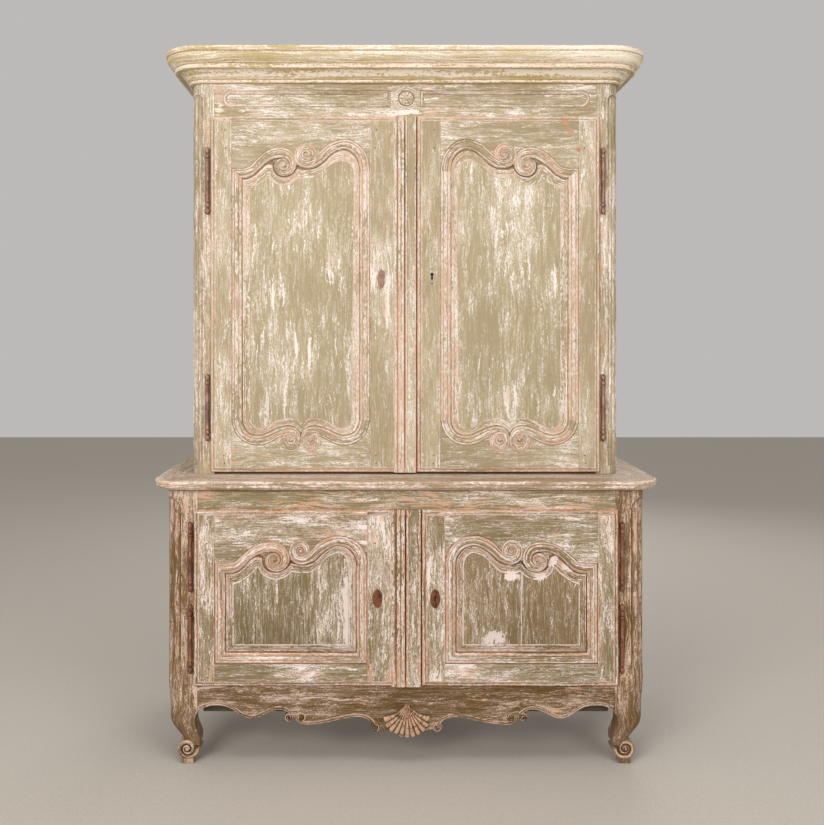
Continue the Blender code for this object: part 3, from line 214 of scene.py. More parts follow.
def agedPaint(name, look, seed):
    material, flow = startMaterial(name)
    look = {**paintHabits, **look}
    draw, flakes = look["long"], look["flakes"]
    grain, worn, grimeAndShade = flow.grain(), flow.stain("wearAndHighlight"), flow.stain("dirtAndShade")
    drift = grain.noise((15, 8, 0), seed + 31, 2, 0.5)
    sway = flow.add("ShaderNodeCombineXYZ", {}, {"X": drift.swing(0.03)})
    wavy = flow.vector("ADD", grain, sway)
    stroke = wavy.noise((200, 13 * draw, 0), seed, 3, 0.62)
    fine = wavy.noise((330, 75 * draw, 0), seed + 13, 3, 0.68)
    cluster = wavy.noise((40, 10 * draw, 0), seed + 3, 3, 0.6)
    dash = wavy.noise((260, 20 * draw, 0), seed + 51, 3, 0.6)
    drip = wavy.noise((62, 5.0 * draw, 0), seed + 71, 4, 0.62)
    bald = wavy.noise((15, 6 * draw, 0), seed + 23, 4, 0.65)
    blush = wavy.noise((30, 10 * draw, 0), seed + 41, 2, 0.5)
    cloud = grain.noise((6, 2.6 * draw, 0), seed + 7, 2, 0.5)
    hair = grain.noise((420, 9 * draw, 0), seed + 11, 2, 0.6)
    speck = grain.noise((300, 240, 0), seed + 17, 3, 0.65)
    blot = grain.noise((95, 75, 0), seed + 83, 3, 0.65)
    olive, deep, ground, pink, soilAndShade, wood, tan = (
        rgba(look[key]) for key in ("olive", "deep", "ground", "pink", "soilAndShade", "wood", "tan"))
    paint = (cloud * 0.5 + stroke * 0.5).step(0.38, 0.62).mix(deep, olive)
    paint = (hair.step(0.5, 0.7) * 0.3 + speck.step(0.56, 0.74) * 0.52).mix(paint, deep)
    filthAndShade = grimeAndShade.most(0.0)
    # painted shade: darker towards deep where the dirt-and-shade values are set, by the look's shade
    paint = (filthAndShade.step(0.02, 0.4) * look["shade"]).mix(paint, deep)
    paint = (hair.step(0.47, 0.33) * look["hairs"]).mix(paint, ground)
    # short crisp strokes in clusters, where the paint has come off the ground
    thin = stroke * 0.34 + fine * 0.36 + cluster * 0.33 + cloud.swing(0.22) + speck.swing(0.3) - 0.015
    level = 0.566 - flakes
    paint = (thin.step(level - 0.11, level) * 0.32).mix(paint, ground)
    veil = (cloud * 0.55 + drift * 0.45).step(0.5, 0.66) * (fine * 0.5 + speck * 0.5).step(0.42, 0.56)
    paint = (veil * look["wash"]).mix(paint, ground)
    lost = dash + cluster.swing(0.4) + blot.swing(0.35) + cloud.swing(0.3) + speck.swing(0.25)
    run = drip + fine.swing(0.28) + cloud.swing(0.4) + speck.swing(0.16)
    flaked = thin.step(level, level + 0.007).most(lost.step(0.68 - flakes, 0.69 - flakes))
    flaked = flaked.most(run.step(0.635 - look["drip"], 0.648 - look["drip"]))
    paint = (flaked * 0.96).mix(paint, (blush.step(0.54, 0.66) * 0.7).mix(ground, pink))
    woodTone = (hair * 0.5 + cloud * 0.5).step(0.4, 0.6).mix(wood, tan)
    patch = bald * 0.62 + stroke * 0.38 + speck.swing(0.1) - filthAndShade * 0.2
    bared = patch.step(0.625 - look["bare"], 0.64 - look["bare"])
    paint = (bared * 0.8).mix(paint, (hair * 0.6 + stroke * 0.4).step(0.42, 0.58).mix(pink, woodTone))
    # arrises: first down to the pinkish ground, then to the wood
    rough = stroke.swing(1.2) + fine.swing(0.9) + cluster.swing(1.0)
    thumbed = worn * (rough * 1.1 + blot.swing(1.5) + cloud.swing(0.8) + 0.46 + look["rub"])
    firstTone = (fine * 0.6 + drift * 0.4).step(0.46, 0.56).mix(pink, ground)
    paint = (thumbed.step(0.2, 0.3) * 0.88).mix(paint, firstTone)
    paint = (thumbed.step(0.52, 0.62) * 0.85).mix(paint, woodTone)
    # painted shade again, laid over the flakes
    paint = (filthAndShade.step(0.02, 0.4) * look["shade"] * 0.3).mix(paint, deep)
    # below zero the dirt-and-shade value is caked pale paint instead; in the cornice's cove it lightens the paint as
    # painted light
    caked = (0 - grimeAndShade).most(0.0) * (cluster.swing(1.8) + blot.swing(2.0) + fine.swing(1.2) + look["chalk"])
    paint = (caked.step(0.42, 0.52) * 0.95).mix(paint, ground)
    # soil in the recesses, and painted shade where the values stand for shade: the legs and feet, the serving top,
    # the doors' lower edges
    soiledAndShaded = (grimeAndShade * 0.8 + cluster.swing(0.7) + blot.swing(0.9) + stroke.swing(0.5)).step(0.26, 0.76)
    murk = cloud.step(0.4, 0.62).mix(rgba(look["soilAndShade"], (0.6, 0.6, 0.6)), soilAndShade)
    paint = (soiledAndShaded * min(0.85 * look["grimeAndShade"], 0.95)).mix(paint, murk)
    for x, z, reach, width, lean, tone in look["scuffs"]:
        # a scraped place at x, z on the front, its length turned by lean
        away = flow.vector("SUBTRACT", flow.place(), (x, look["front"], z))
        c, s = math.cos(math.radians(lean)), math.sin(math.radians(lean))
        axes = ((c / reach, 0, s / reach), (-s / width, 0, c / width), (0, 1 / look["scuffDepth"], 0))
        along, across, inward = (flow.vector("DOT_PRODUCT", away, axis, 1) for axis in axes)
        ragged = cluster.swing(2.6) + blot.swing(1.6) + stroke.swing(2.0) + fine.swing(1.8)
        scraped = 0.85 - (along * along + across * across + inward * inward) + ragged
        paint = (scraped.step(0.28, 0.36) * 0.9).mix(paint, rgba(tone))
    height = hair.swing(0.35) - flaked * 0.4 + speck.swing(0.22) + fine * 0.3
    return closeMaterial(material, flow, {"Base Color": paint, "Roughness": 0.64 + flaked * 0.14,
                                          "Normal": height.bump(0.6, 0.0014), "Specular IOR Level": 0.25})


def rustyIron(name, tones, seed, metal=0.25):
    material, flow = startMaterial(name)
    place, wornAndHighlit, shaded = flow.place(), flow.stain("wearAndHighlight"), flow.stain("dirtAndShade")
    scale = place.noise((420, 420, 420), seed, 4, 0.7)
    patch = place.noise((90, 90, 40), seed + 5, 3, 0.6)
    dark, red, pale = (rgba(tone) for tone in tones)
    tone = patch.step(0.36, 0.6).mix(dark, red)
    # real wear on the arrises of the locks, and a painted highlight down the front of the hinge barrels
    tone = (wornAndHighlit * (patch * 0.8 + 0.2)).mix(tone, pale)
    tone = (scale.step(0.5, 0.66) * 0.6).mix(tone, pale)
    # painted shade on the sides and back of the hinge barrels
    tone = (shaded * 0.75).mix(tone, dark)
    return closeMaterial(material, flow, {"Base Color": tone, "Roughness": 0.26 + scale * 0.26, "Metallic": metal,
                                          "Normal": scale.bump(0.4, 0.0009), "Specular IOR Level": 0.35})


def bareBoards(name, light, dark, seed):
    material, flow = startMaterial(name)
    grain = flow.grain()
    ring = grain.noise((62, 2.2, 0), seed, 3, 0.55)
    hair = grain.noise((700, 14, 0), seed + 5, 2, 0.6)
    stain = grain.noise((5, 3, 0), seed + 9, 3, 0.55)
    plankTone = grain.noise((1.9, 0.25, 0), seed + 15, 1, 0.4)
    tone = (ring * 0.7 + hair * 0.3).step(0.36, 0.64).mix(rgba(dark), rgba(light))
    tone = (stain.step(0.48, 0.66) * 0.45).mix(tone, rgba(dark, (0.6, 0.55, 0.5)))
    tone = (plankTone.step(0.36, 0.64) * 0.5).mix(tone, rgba(dark, (0.75, 0.72, 0.68)))
    return closeMaterial(material, flow, {"Base Color": tone, "Roughness": 0.66 + hair * 0.2,
                                          "Normal": (hair * 0.6 + ring * 0.4).bump(0.35, 0.001)})


def plainTone(name, tone, roughness):
    material, flow = startMaterial(name)
    mottle = flow.place().noise((300, 300, 300), 2.0)
    colour = mottle.step(0.3, 0.7).mix(rgba(tone, (0.8, 0.8, 0.8)), rgba(tone))
    return closeMaterial(material, flow, {"Base Color": colour, "Roughness": roughness})


finishes = {key: agedPaint(key + "Paint", look, 2.3 * k) for k, (key, look) in enumerate(paintLooks.items())}
finishes["iron"] = rustyIron("rustyIron", ((0.05, 0.013, 0.004), (0.175, 0.05, 0.016), (0.45, 0.245, 0.15)), 1.0)
# a paler copy of the iron for the upper hinges, whose pale tone gives them a brighter painted highlight
finishes["paleHighlitIron"] = rustyIron("paleHighlitIron", ((0.05, 0.015, 0.006), (0.215, 0.08, 0.04), (0.6, 0.39, 0.3)), 2.0)
finishes["wornIron"] = rustyIron("wornIron", ((0.205, 0.105, 0.072), (0.31, 0.175, 0.13), (0.52, 0.36, 0.28)), 3.0,
                                 0.0)
finishes["bare"] = bareBoards("bareBoards", (0.4, 0.27, 0.155), (0.22, 0.13, 0.065), 4.0)
# near-black boards for the bearer behind the apron: painted shade
finishes["bearer"] = bareBoards("shadedBoards", (0.105, 0.08, 0.048), (0.055, 0.04, 0.023), 6.0)
finishes["back"] = bareBoards("greyBackBoards", (0.3, 0.235, 0.165), (0.16, 0.115, 0.075), 8.0)
finishes["peg"] = plainTone("darkPeg", (0.2, 0.07, 0.04), 0.7)
# near-black for the keyholes: painted shade in the hole
finishes["dark"] = plainTone("paintedHoleShade", (0.012, 0.009, 0.007), 0.9)
finishes["floor"] = plainTone("paleFloor", roomSettings["floorColour"][:3], 0.75)
print("finishes made:", len(finishes))


def buildRoom():
    camera = bpy.data.objects.new("photoCamera", bpy.data.cameras.new("photoCamera"))
    camera.location = cameraSettings["place"]
    camera.rotation_euler = (math.radians(90), 0, 0)
    camera.data.lens = cameraSettings["lens"]
    camera.data.shift_x, camera.data.shift_y = cameraSettings["shift"]
    scene.collection.objects.link(camera)
    scene.camera = camera
    bm = bmesh.new()
    bmesh.ops.create_grid(bm, x_segments=4, y_segments=4, size=roomSettings["floorSize"])
    mesh = bpy.data.meshes.new("floor")
    bm.to_mesh(mesh)
    bm.free()
    floor = bpy.data.objects.new("floor", mesh)
    floor.data.materials.append(finishes["floor"])
    scene.collection.objects.link(floor)
    world = bpy.data.worlds.new("studio")
    world.use_nodes = True
    sky = world.node_tree.nodes["Background"]
    sky.inputs["Color"].default_value = roomSettings["skyColour"]
    sky.inputs["Strength"].default_value = roomSettings["skyPower"]
    scene.world = world
    for name, place, aim, size, power in roomSettings["lamps"]:
        lamp = bpy.data.objects.new(name, bpy.data.lights.new(name, "AREA"))
        lamp.data.size, lamp.data.energy = size, power
        lamp.location = place
        lamp.rotation_euler = (Vector(aim) - Vector(place)).to_track_quat("-Z", "Y").to_euler()
        scene.collection.objects.link(lamp)


buildRoom()

# shared making: sheets of points, boards, closing of a piece
# lot sets the boards of one piece apart in the grain, arris is the rubbed ring of a dressed solid
makingSettings = {"merge": 1e-6, "lot": 0.613, "rubbed": 0.9, "arris": 0.0025, "arrisWear": 0.8, "smallFace": 4e-4}


def newPiece(mesh=None):
    bm = bmesh.new()
    if mesh:
        bm.from_mesh(mesh)
    bm.verts.layers.float.new("wearAndHighlight")
    bm.verts.layers.float.new("dirtAndShade")
    bm.loops.layers.uv.new("grain")
    bm.faces.layers.int.new("woven")
    return bm


def stains(bm):
    return bm.verts.layers.float["wearAndHighlight"], bm.verts.layers.float["dirtAndShade"]


def pointsOf(geometry):
    return [item for item in geometry if isinstance(item, bmesh.types.BMVert)]


def merge(bm, fill=False):
    # joins points that meet, and closes what is open if asked to
    bmesh.ops.remove_doubles(bm, verts=bm.verts[:], dist=makingSettings["merge"])
    if fill:
        bmesh.ops.holes_fill(bm, edges=[edge for edge in bm.edges if edge.is_boundary], sides=0)


def clamp(value):
    return min(max(value, 0), 1)


def grainOffset(name):
    dice = random.Random(name)
    return dice.uniform(0, 9), dice.uniform(0, 9)


def boxGrain(bm, along, shift):
    # boards take their grain from the box: along is the axis that the grain runs on
    grainMap, woven = bm.loops.layers.uv["grain"], bm.faces.layers.int["woven"]
    for face in bm.faces:
        if face[woven] == 1:
            continue
        lot = face[woven] * makingSettings["lot"]
        facing = max(range(3), key=lambda axis: abs(face.normal[axis]))
        u, v = [axis for axis in range(3) if axis != facing]
        if facing != along:
            u, v = 3 - facing - along, along
        for loop in face.loops:
            loop[grainMap].uv = (loop.vert.co[u] + shift[0] + facing + lot, loop.vert.co[v] + shift[1] + lot * 3)


def finishPiece(bm, name, finish, body, nodes, along=2, sharp=36):
    bmesh.ops.recalc_face_normals(bm, faces=bm.faces[:])
    boxGrain(bm, along, grainOffset(name))
    mesh = bpy.data.meshes.new(name)
    bm.to_mesh(mesh)
    bm.free()
    mesh.shade_smooth()
    mesh.set_sharp_from_angle(angle=math.radians(sharp))
    mesh.materials.append(finishes[finish])
    piece = bpy.data.objects.new(name, mesh)
    scene.collection.objects.link(piece)
    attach(piece, body)
    if nodes:
        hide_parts(*nodes)


def lengths(line):
    # how far along the line every point lies
    runs = [0.0]
    for a, b in zip(line, line[1:]):
        runs.append(runs[-1] + (b - a).length)
    return runs


def spread(line, count):
    # the same line with evenly spaced points
    runs = lengths(line)
    made, k = [], 0
    for i in range(count):
        want = runs[-1] * i / (count - 1)
        while k < len(runs) - 2 and runs[k + 1] < want:
            k += 1
        part = (want - runs[k]) / max(runs[k + 1] - runs[k], 1e-9)
        made.append(line[k].lerp(line[k + 1], clamp(part)))
    return made


def curvePoint(a, b, c, d, t):
    # between b and c, on an even curve through all four
    return 0.5 * (2 * b + (c - a) * t + (2 * a - 5 * b + 4 * c - d) * t * t + (3 * b - a - 3 * c + d) * t ** 3)


def smooth(points, count, after=None):
    # an even curve through the points; after is where it is heading at its end
    points = [Vector(p) for p in points]
    guide = [points[0] * 2 - points[1]] + points + [Vector(after) if after else points[-1] * 2 - points[-2]]
    dense = [curvePoint(*guide[k:k + 4], n / 16) for k in range(len(points) - 1) for n in range(16)]
    return spread(dense + [points[-1]], count)


def weave(bm, rows, wearAndHighlight, dirtAndShade, shift, back=None, ring=False):
    # a sheet through rows of points, one row for each step of a moulding; back closes it behind at that y
    count = len(rows[0])
    made = bmesh.ops.create_grid(bm, x_segments=count - 1, y_segments=len(rows) - 1, size=0.5)["verts"]
    wearAndHighlightLayer, dirtAndShadeLayer = stains(bm)
    grainMap, woven = bm.loops.layers.uv["grain"], bm.faces.layers.int["woven"]
    runs = lengths(rows[len(rows) // 2])
    spots, across = {}, [0.0] * count
    for j, row in enumerate(rows):
        for i, point in enumerate(row):
            if j:
                across[i] += (point - rows[j - 1][i]).length
            vert = made[j * count + i]
            vert.co = point
            vert[wearAndHighlightLayer] = wearAndHighlight[j][i] if isinstance(wearAndHighlight[j], list) else wearAndHighlight[j]
            vert[dirtAndShadeLayer] = dirtAndShade[j][i] if isinstance(dirtAndShade[j], list) else dirtAndShade[j]
            spots[vert] = (across[i] + shift[0], runs[i] + shift[1])
    faces = list({face for vert in made for face in vert.link_faces})
    for face in faces:
        face[woven] = 1
        for loop in face.loops:
            loop[grainMap].uv = spots[loop.vert]
    if back is not None:
        for vert in pointsOf(bmesh.ops.extrude_face_region(bm, geom=faces, use_keep_orig=True)["geom"]):
            vert.co.y = back
    if ring:
        bmesh.ops.remove_doubles(bm, verts=made, dist=makingSettings["merge"])


def weaveProfile(bm, rows, profile, shift, back=None, ring=False):
    # profiles hold the wear and the dirt-and-shade of every row in their third and fourth places
    weave(bm, rows, [step[2] for step in profile], [step[3] for step in profile], shift, back, ring)


def rowsBetween(outer, inner, profile, spot):
    # a moulding between two lines: spot turns x, z and a depth into a place
    return [[spot(*a.lerp(b, step[0]), step[1] * 0.001) for a, b in zip(outer, inner)] for step in profile]


def oblong(x0, z0, x1, z1):
    return [(x0, z0), (x1, z0), (x1, z1), (x0, z1)]


def board(bm, outline, front, back, rubbed=0.003):
    # a flat board with its outline in x and z; a narrow ring along the front edges is rubbed
    wearAndHighlightLayer = stains(bm)[0]
    corners = [bm.verts.new((x, front, z)) for x, z in outline]
    face = bm.faces.new(corners)
    for vert in pointsOf(bmesh.ops.extrude_face_region(bm, geom=[face], use_keep_orig=True)["geom"]):
        vert.co.y = back
    if rubbed:
        for vert in corners:
            vert[wearAndHighlightLayer] = makingSettings["rubbed"]
        bmesh.ops.inset_region(bm, faces=[face], thickness=rubbed, use_even_offset=True)
        for vert in face.verts:
            vert[wearAndHighlightLayer] = 0.0


def plank(bm, low, high, soften=0.0015, lot=0):
    # a board with softened edges between two corners
    made = bmesh.ops.create_cube(bm, size=1.0)["verts"]
    woven = bm.faces.layers.int["woven"]
    for face in {face for vert in made for face in vert.link_faces}:
        face[woven] = lot + 2 if lot else 0
    for vert in made:
        vert.co = Vector([low[k] + (high[k] - low[k]) * (vert.co[k] + 0.5) for k in range(3)])
    edges = list({edge for vert in made for edge in vert.link_edges})
    bmesh.ops.bevel(bm, geom=edges, offset=soften, segments=2, profile=0.5, affect="EDGES", material=-1)


def cuts(low, high, count):
    return [(low + (high - low) * k / count, low + (high - low) * (k + 1) / count) for k in range(count)]


def dome(bm, place, size, segments, rings, crown=0.0, flank=0.0):
    # a rounded head; crown is the wear of its front, flank that of the rest
    wearAndHighlightLayer = stains(bm)[0]
    for vert in bmesh.ops.create_uvsphere(bm, u_segments=segments, v_segments=rings, radius=1.0)["verts"]:
        vert[wearAndHighlightLayer] = crown if vert.co.y < -0.7 else flank
        vert.co = Vector([place[k] + vert.co[k] * size[k] for k in range(3)])


def drum(bm, x, z, radius, near, far, segments, dirtAndShade):
    # a round bed behind a scroll
    dirtAndShadeLayer = stains(bm)[1]
    made = bmesh.ops.create_cone(bm, cap_ends=True, segments=segments, radius1=radius, radius2=radius, depth=1.0)
    for vert in made["verts"]:
        vert.co = Vector((x + vert.co.x, near if vert.co.z < 0 else far, z + vert.co.y))
        vert[dirtAndShadeLayer] = dirtAndShade


def carry(node, finish, body, slot, along):
    # a solid that is already right keeps its shape and gains softened, rubbed arrises
    bm, small = newPiece(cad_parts[node].data), makingSettings["smallFace"]
    bmesh.ops.remove_doubles(bm, verts=bm.verts[:], dist=1e-5)
    bmesh.ops.dissolve_limit(bm, angle_limit=math.radians(1), verts=bm.verts[:], edges=bm.edges[:])
    wearAndHighlightLayer = stains(bm)[0]
    for vert in bm.verts:
        vert[wearAndHighlightLayer] = makingSettings["arrisWear"]
    large = [face for face in bm.faces if face.calc_area() > small]
    inner = bmesh.ops.inset_individual(bm, faces=large, thickness=makingSettings["arris"], use_even_offset=True)
    for face in bm.faces:
        if face not in inner["faces"] and face.calc_area() > small:
            for vert in face.verts:
                vert[wearAndHighlightLayer] = 0.0
    finishPiece(bm, node + "_dressed", finish, body, [node], along)


# doors: lowX is the hinge side of the opening, edge the outer edge of the hinge stile
doorFrames = {
    "lower": {"lowX": 0.602, "edge": 0.668, "meet": (0.046, 0.0485), "width": 0.48, "bottom": 0.2415, "top": 0.7965,
              "shoulder": 0.6305, "sill": 0.3135, "face": -0.2815, "butt": 0.01, "paint": "lowerDoor",
              "rails": "lowerRail", "panel": {"left": "lowerPanel", "right": "lowerPanelRight"}, "deepen": 1.0,
              "groove": 8.4, "rubbed": 0.18, "wearing": 1.08, "caked": 0.85, "joints": {"right": 0.364}},
    "upper": {"lowX": 0.567, "edge": 0.6365, "meet": (0.036, 0.0385), "width": 0.452, "bottom": 0.896, "top": 2.0605,
              "shoulder": 1.8905, "sill": 0.984, "face": -0.1595, "butt": 0.0115, "paint": "upperDoor",
              "rails": "upperRail", "panel": {"left": "upperPanel", "right": "upperPanel"}, "deepen": 0.55,
              "groove": 5.9, "rubbed": 0.44, "wearing": 1.0, "caked": 0.35, "joints": {}},
}
doorDepths = {"lip": 0.012, "ground": 0.009, "back": 0.0285, "lap": 0.0115, "border": 0.016, "seam": 0.0003,
              "mould": 0.034, "mouldBack": 0.0135, "foot": 0.083}
# share across the moulding from the frame side, depth below the face, rubbed, dirty
mouldProfile = [(0.0, 3.4, 0.0, 1.0), (0.03, 3.0, 0.0, 0.9), (0.06, 0.8, 0.5, 0.2), (0.1, -0.2, 1.0, 0.0),
                (0.16, -0.8, 0.7, 0.0), (0.23, -0.4, 0.4, 0.0), (0.27, 0.7, 0.0, 0.7), (0.3, 0.7, 0.0, 0.6),
                (0.33, -0.5, 0.7, 0.0), (0.42, -1.3, 0.4, 0.0), (0.55, -0.9, 0.2, 0.0), (0.65, 0.3, 0.1, 0.0),
                (0.69, 1.6, 0.0, 0.8), (0.72, 1.7, 0.0, 0.8), (0.75, 0.6, 0.7, 0.0), (0.81, 0.2, 1.0, 0.0),
                (0.87, 0.8, 0.7, 0.0), (0.91, 2.2, 0.2, 0.3), (0.95, 2.9, 0.4, 0.0), (1.0, 5.2, 0.1, 0.8)]
# share from the moulding to the raised field of the panel
fieldProfile = [(-0.2, 11.0, 0.0, 1.0), (0.03, 10.0, 0.0, 0.9), (0.07, 7.7, 0.3, 0.3), (0.12, 7.0, 0.8, 0.0),
                (0.26, 6.9, 0.3, 0.0), (0.3, 7.3, 0.0, 0.8), (0.34, 6.8, 0.6, 0.0), (0.38, 6.8, 0.3, 0.0),
                (0.43, 6.5, 0.9, 0.0), (0.47, 7.3, 0.0, 0.9), (0.5, 7.2, 0.1, 0.7), (0.53, 6.8, 0.5, 0.0),
                (0.66, 6.6, 0.3, 0.0), (0.69, 6.9, 0.0, 0.7), (0.72, 6.3, 0.5, 0.0), (0.8, 5.8, 0.2, 0.0),
                (0.9, 4.9, 0.4, 0.0), (0.95, 4.3, 1.0, 0.0), (0.985, 4.5, 0.8, 0.0), (1.01, 5.2, 0.0, 0.8),
                (1.04, 4.8, 0.1, 0.2)]
# mm in from the door's edge, depth, rubbed, dirty; the dirty outer rows hold dirt and a painted shadow line along the
# edge
borderProfile = [(0.0, 11.9, 0.2, 1.0), (0.0, 7.0, 0.6, 1.0), (1.2, 5.0, 0.9, 0.8), (2.8, 3.8, 1.0, 0.3),
                 (4.6, 3.1, 1.0, 0.0), (6.4, 2.6, 0.5, 0.0), (8.0, 2.3, 0.2, 0.0), (10.2, 2.2, 0.3, 0.1),
                 (11.0, 3.4, 0.0, 1.0), (12.0, 3.0, 0.0, 0.7), (12.8, 0.7, 0.9, 0.0), (14.0, 0.0, 1.0, 0.0),
                 (16.2, 0.0, 0.1, 0.0)]
# mm at every quarter turn
bigRadii = {"lower": [58, 49, 37, 29, 22.5, 18.5, 15.5, 13, 10.5, 8.5, 6.8, 5.2, 4.0, 3.0, 2.2],
            "upper": [60, 42.5, 34.5, 29, 23.5, 19, 15.8, 13.8, 11, 8.8, 6.8, 5.2, 4.0, 3.0, 2.2]}
smallRadii = {"lower": [44.5, 36.7, 33.5, 31, 15, 12.8, 11.8, 10.5, 8.5, 7, 5.5, 4.2, 3.2, 2.2, 1.6],
              "upper": [47, 40, 36.5, 33, 17, 16, 14.2, 13.5, 10.5, 8.5, 6.5, 4.8, 3.4, 2.2, 1.6]}
footRadii = [44, 31.8, 40, 34, 16.5, 16.5, 16.5, 14.5, 11.5, 9.8, 8, 6.5, 5, 3.8, 2.8]
# u and height of the lines of a top rail, from the hinge side and the shoulder
headLines = {
    "lower": {
        "bigEye": (0.1882, 0.0088), "smallEye": (0.2707, 0.0383),
        "armOuter": [(0, 0), (0.02, 0), (0.045, 0), (0.062, 0.004), (0.0809, 0.0195), (0.1139, 0.0467),
                     (0.1468, 0.0628)],
        "armInner": [(0.034, -0.034), (0.045, -0.034), (0.0577, -0.0335), (0.0844, -0.0194), (0.1139, 0.0104),
                     (0.1402, 0.0267), (0.168, 0.033)],
        "archOuter": [(0.48, -0.01), (0.4803, 0.0069), (0.4702, 0.0402), (0.4505, 0.0646), (0.4175, 0.0813),
                      (0.3846, 0.0863), (0.3582, 0.0813), (0.3284, 0.0665), (0.3037, 0.0402), (0.2885, 0.027)],
        "archInner": [(0.446, -0.01), (0.446, 0.0038), (0.438, 0.0235), (0.421, 0.0429), (0.3946, 0.0529),
                      (0.3714, 0.0494), (0.3416, 0.0313), (0.3121, 0.0053), (0.288, -0.0052)],
        "lip": [[(0.034, -0.034), (0.0577, -0.035), (0.0844, -0.021), (0.1139, 0.008), (0.133, 0.0175),
                 (0.15, 0.015)],
                [(0.15, 0.015), (0.1515, -0.006), (0.163, -0.023), (0.188, -0.03), (0.212, -0.026), (0.23, -0.013),
                 (0.24, -0.001)],
                [(0.24, -0.001), (0.2591, -0.0055), (0.2855, -0.0075), (0.3121, 0.0028), (0.3416, 0.03),
                 (0.3714, 0.0482), (0.3946, 0.0517), (0.4195, 0.0424), (0.437, 0.023), (0.445, 0.0035),
                 (0.445, -0.01)]],
        "field": [[(0.06, -0.069), (0.076, -0.063), (0.0941, -0.0524), (0.1205, -0.0326), (0.1371, -0.0129)],
                  [(0.1371, -0.0129), (0.144, -0.03), (0.1569, -0.0424), (0.1898, -0.054), (0.2231, -0.0458),
                   (0.2428, -0.0292)],
                  [(0.2428, -0.0292), (0.26, -0.0325), (0.2789, -0.0326), (0.3056, -0.0292), (0.3285, -0.0094),
                   (0.3548, 0.0169), (0.3846, 0.0301), (0.403, 0.0262), (0.4165, 0.0094), (0.421, -0.0129),
                   (0.421, -0.03)]],
    },
    "upper": {
        "bigEye": (0.1688, 0.0078), "smallEye": (0.2436, 0.0454),
        "armOuter": [(0, 0), (0.02, 0), (0.036, 0), (0.05, 0.0035), (0.066, 0.0131), (0.095, 0.0421),
                     (0.1241, 0.0614), (0.148, 0.0685)],
        "armInner": [(0.034, -0.034), (0.04, -0.034), (0.05, -0.0325), (0.075, -0.0195), (0.104, 0.009),
                     (0.128, 0.0255), (0.15, 0.0325)],
        "archOuter": [(0.452, -0.0115), (0.452, 0.0), (0.4438, 0.0389), (0.4245, 0.0679), (0.3987, 0.0888),
                      (0.3729, 0.0954), (0.3501, 0.0921), (0.3177, 0.0807), (0.2887, 0.0549), (0.2661, 0.0356)],
        "archInner": [(0.418, -0.0115), (0.4175, 0.004), (0.411, 0.028), (0.394, 0.05), (0.37, 0.0605),
                      (0.348, 0.0575), (0.323, 0.042), (0.297, 0.0165), (0.269, 0.001)],
        "lip": [[(0.034, -0.034), (0.047, -0.035), (0.0755, -0.021), (0.104, 0.0065), (0.12, 0.015), (0.134, 0.012)],
                [(0.134, 0.012), (0.1355, -0.006), (0.148, -0.0225), (0.1688, -0.0285), (0.19, -0.024),
                 (0.205, -0.011), (0.213, 0.001)],
                [(0.213, 0.001), (0.228, -0.0035), (0.248, -0.0035), (0.27, -0.0005), (0.297, 0.015), (0.323, 0.0405),
                 (0.348, 0.056), (0.37, 0.059), (0.3932, 0.0487), (0.41, 0.027), (0.4168, 0.0035), (0.417, -0.0115)]],
        "field": [[(0.06, -0.068), (0.0722, -0.0601), (0.09, -0.052), (0.108, -0.041), (0.1189, -0.03)],
                  [(0.1189, -0.03), (0.128, -0.043), (0.148, -0.0525), (0.1754, -0.0555), (0.2, -0.048),
                   (0.2171, -0.032)],
                  [(0.2171, -0.032), (0.228, -0.0345), (0.2387, -0.034), (0.265, -0.031), (0.29, -0.016),
                   (0.315, 0.006), (0.34, 0.02), (0.3618, 0.0229), (0.38, 0.0175), (0.395, 0.0), (0.399, -0.02),
                   (0.399, -0.035)]],
    },
}
footLines = {  # upper doors: left half of the shaped foot, heights from the sill
    "eye": (0.1936, 0.0186),
    "outer": [(0, 0.083), (0.0015, 0.073), (0.0075, 0.053), (0.0209, 0.0297), (0.05, 0.0072), (0.0852, 0),
              (0.1208, 0.0072), (0.1499, 0.0232), (0.1757, 0.0336)],
    "inner": [(0.034, 0.083), (0.0365, 0.068), (0.048, 0.046), (0.065, 0.035), (0.0852, 0.0325), (0.108, 0.037),
              (0.135, 0.05), (0.164, 0.061)],
    "lip": [(0.035, 0.083), (0.0375, 0.069), (0.0488, 0.0475), (0.0655, 0.0365), (0.0852, 0.034), (0.1075, 0.0385),
            (0.1345, 0.0515), (0.164, 0.0625), (0.1936, 0.064), (0.215, 0.053), (0.226, 0.039)],
    "field": [(0.06, 0.098), (0.0615, 0.083), (0.069, 0.065), (0.088, 0.056), (0.118, 0.066), (0.15, 0.083),
              (0.186, 0.0885), (0.21, 0.083), (0.226, 0.072)],
}
# points along the arms, turns of a scroll, radius and height of its eye and how far it stands up
scrollSettings = {"arm": 60, "arch": 72, "foot": 56, "ridge": 66, "quarters": 9, "perQuarter": 12,
                  "bigEye": (0.0065, 0.0065), "smallEye": (0.0055, 0.0075), "footEye": (0.0065, 0.007),
                  "armLift": 0.0035, "archLift": 0.005, "footLift": 0.0045, "liftFrom": 0.55, "footLiftFrom": 34}
panelSettings = {"inset": {"lip": 0.035, "field": 0.06}, "fieldDepth": 4.3, "back": 0.022, "front": 0.0055,
                 # mm beside a worn joint, dirt, mm sunk
                 "joint": [(-4.2, 0, 0), (-2.8, -0.9, 0), (-0.8, -0.6, 0), (0, 0.5, 1.2), (0.8, -0.6, 0),
                           (2.4, -0.9, 0), (3.6, 0, 0)]}


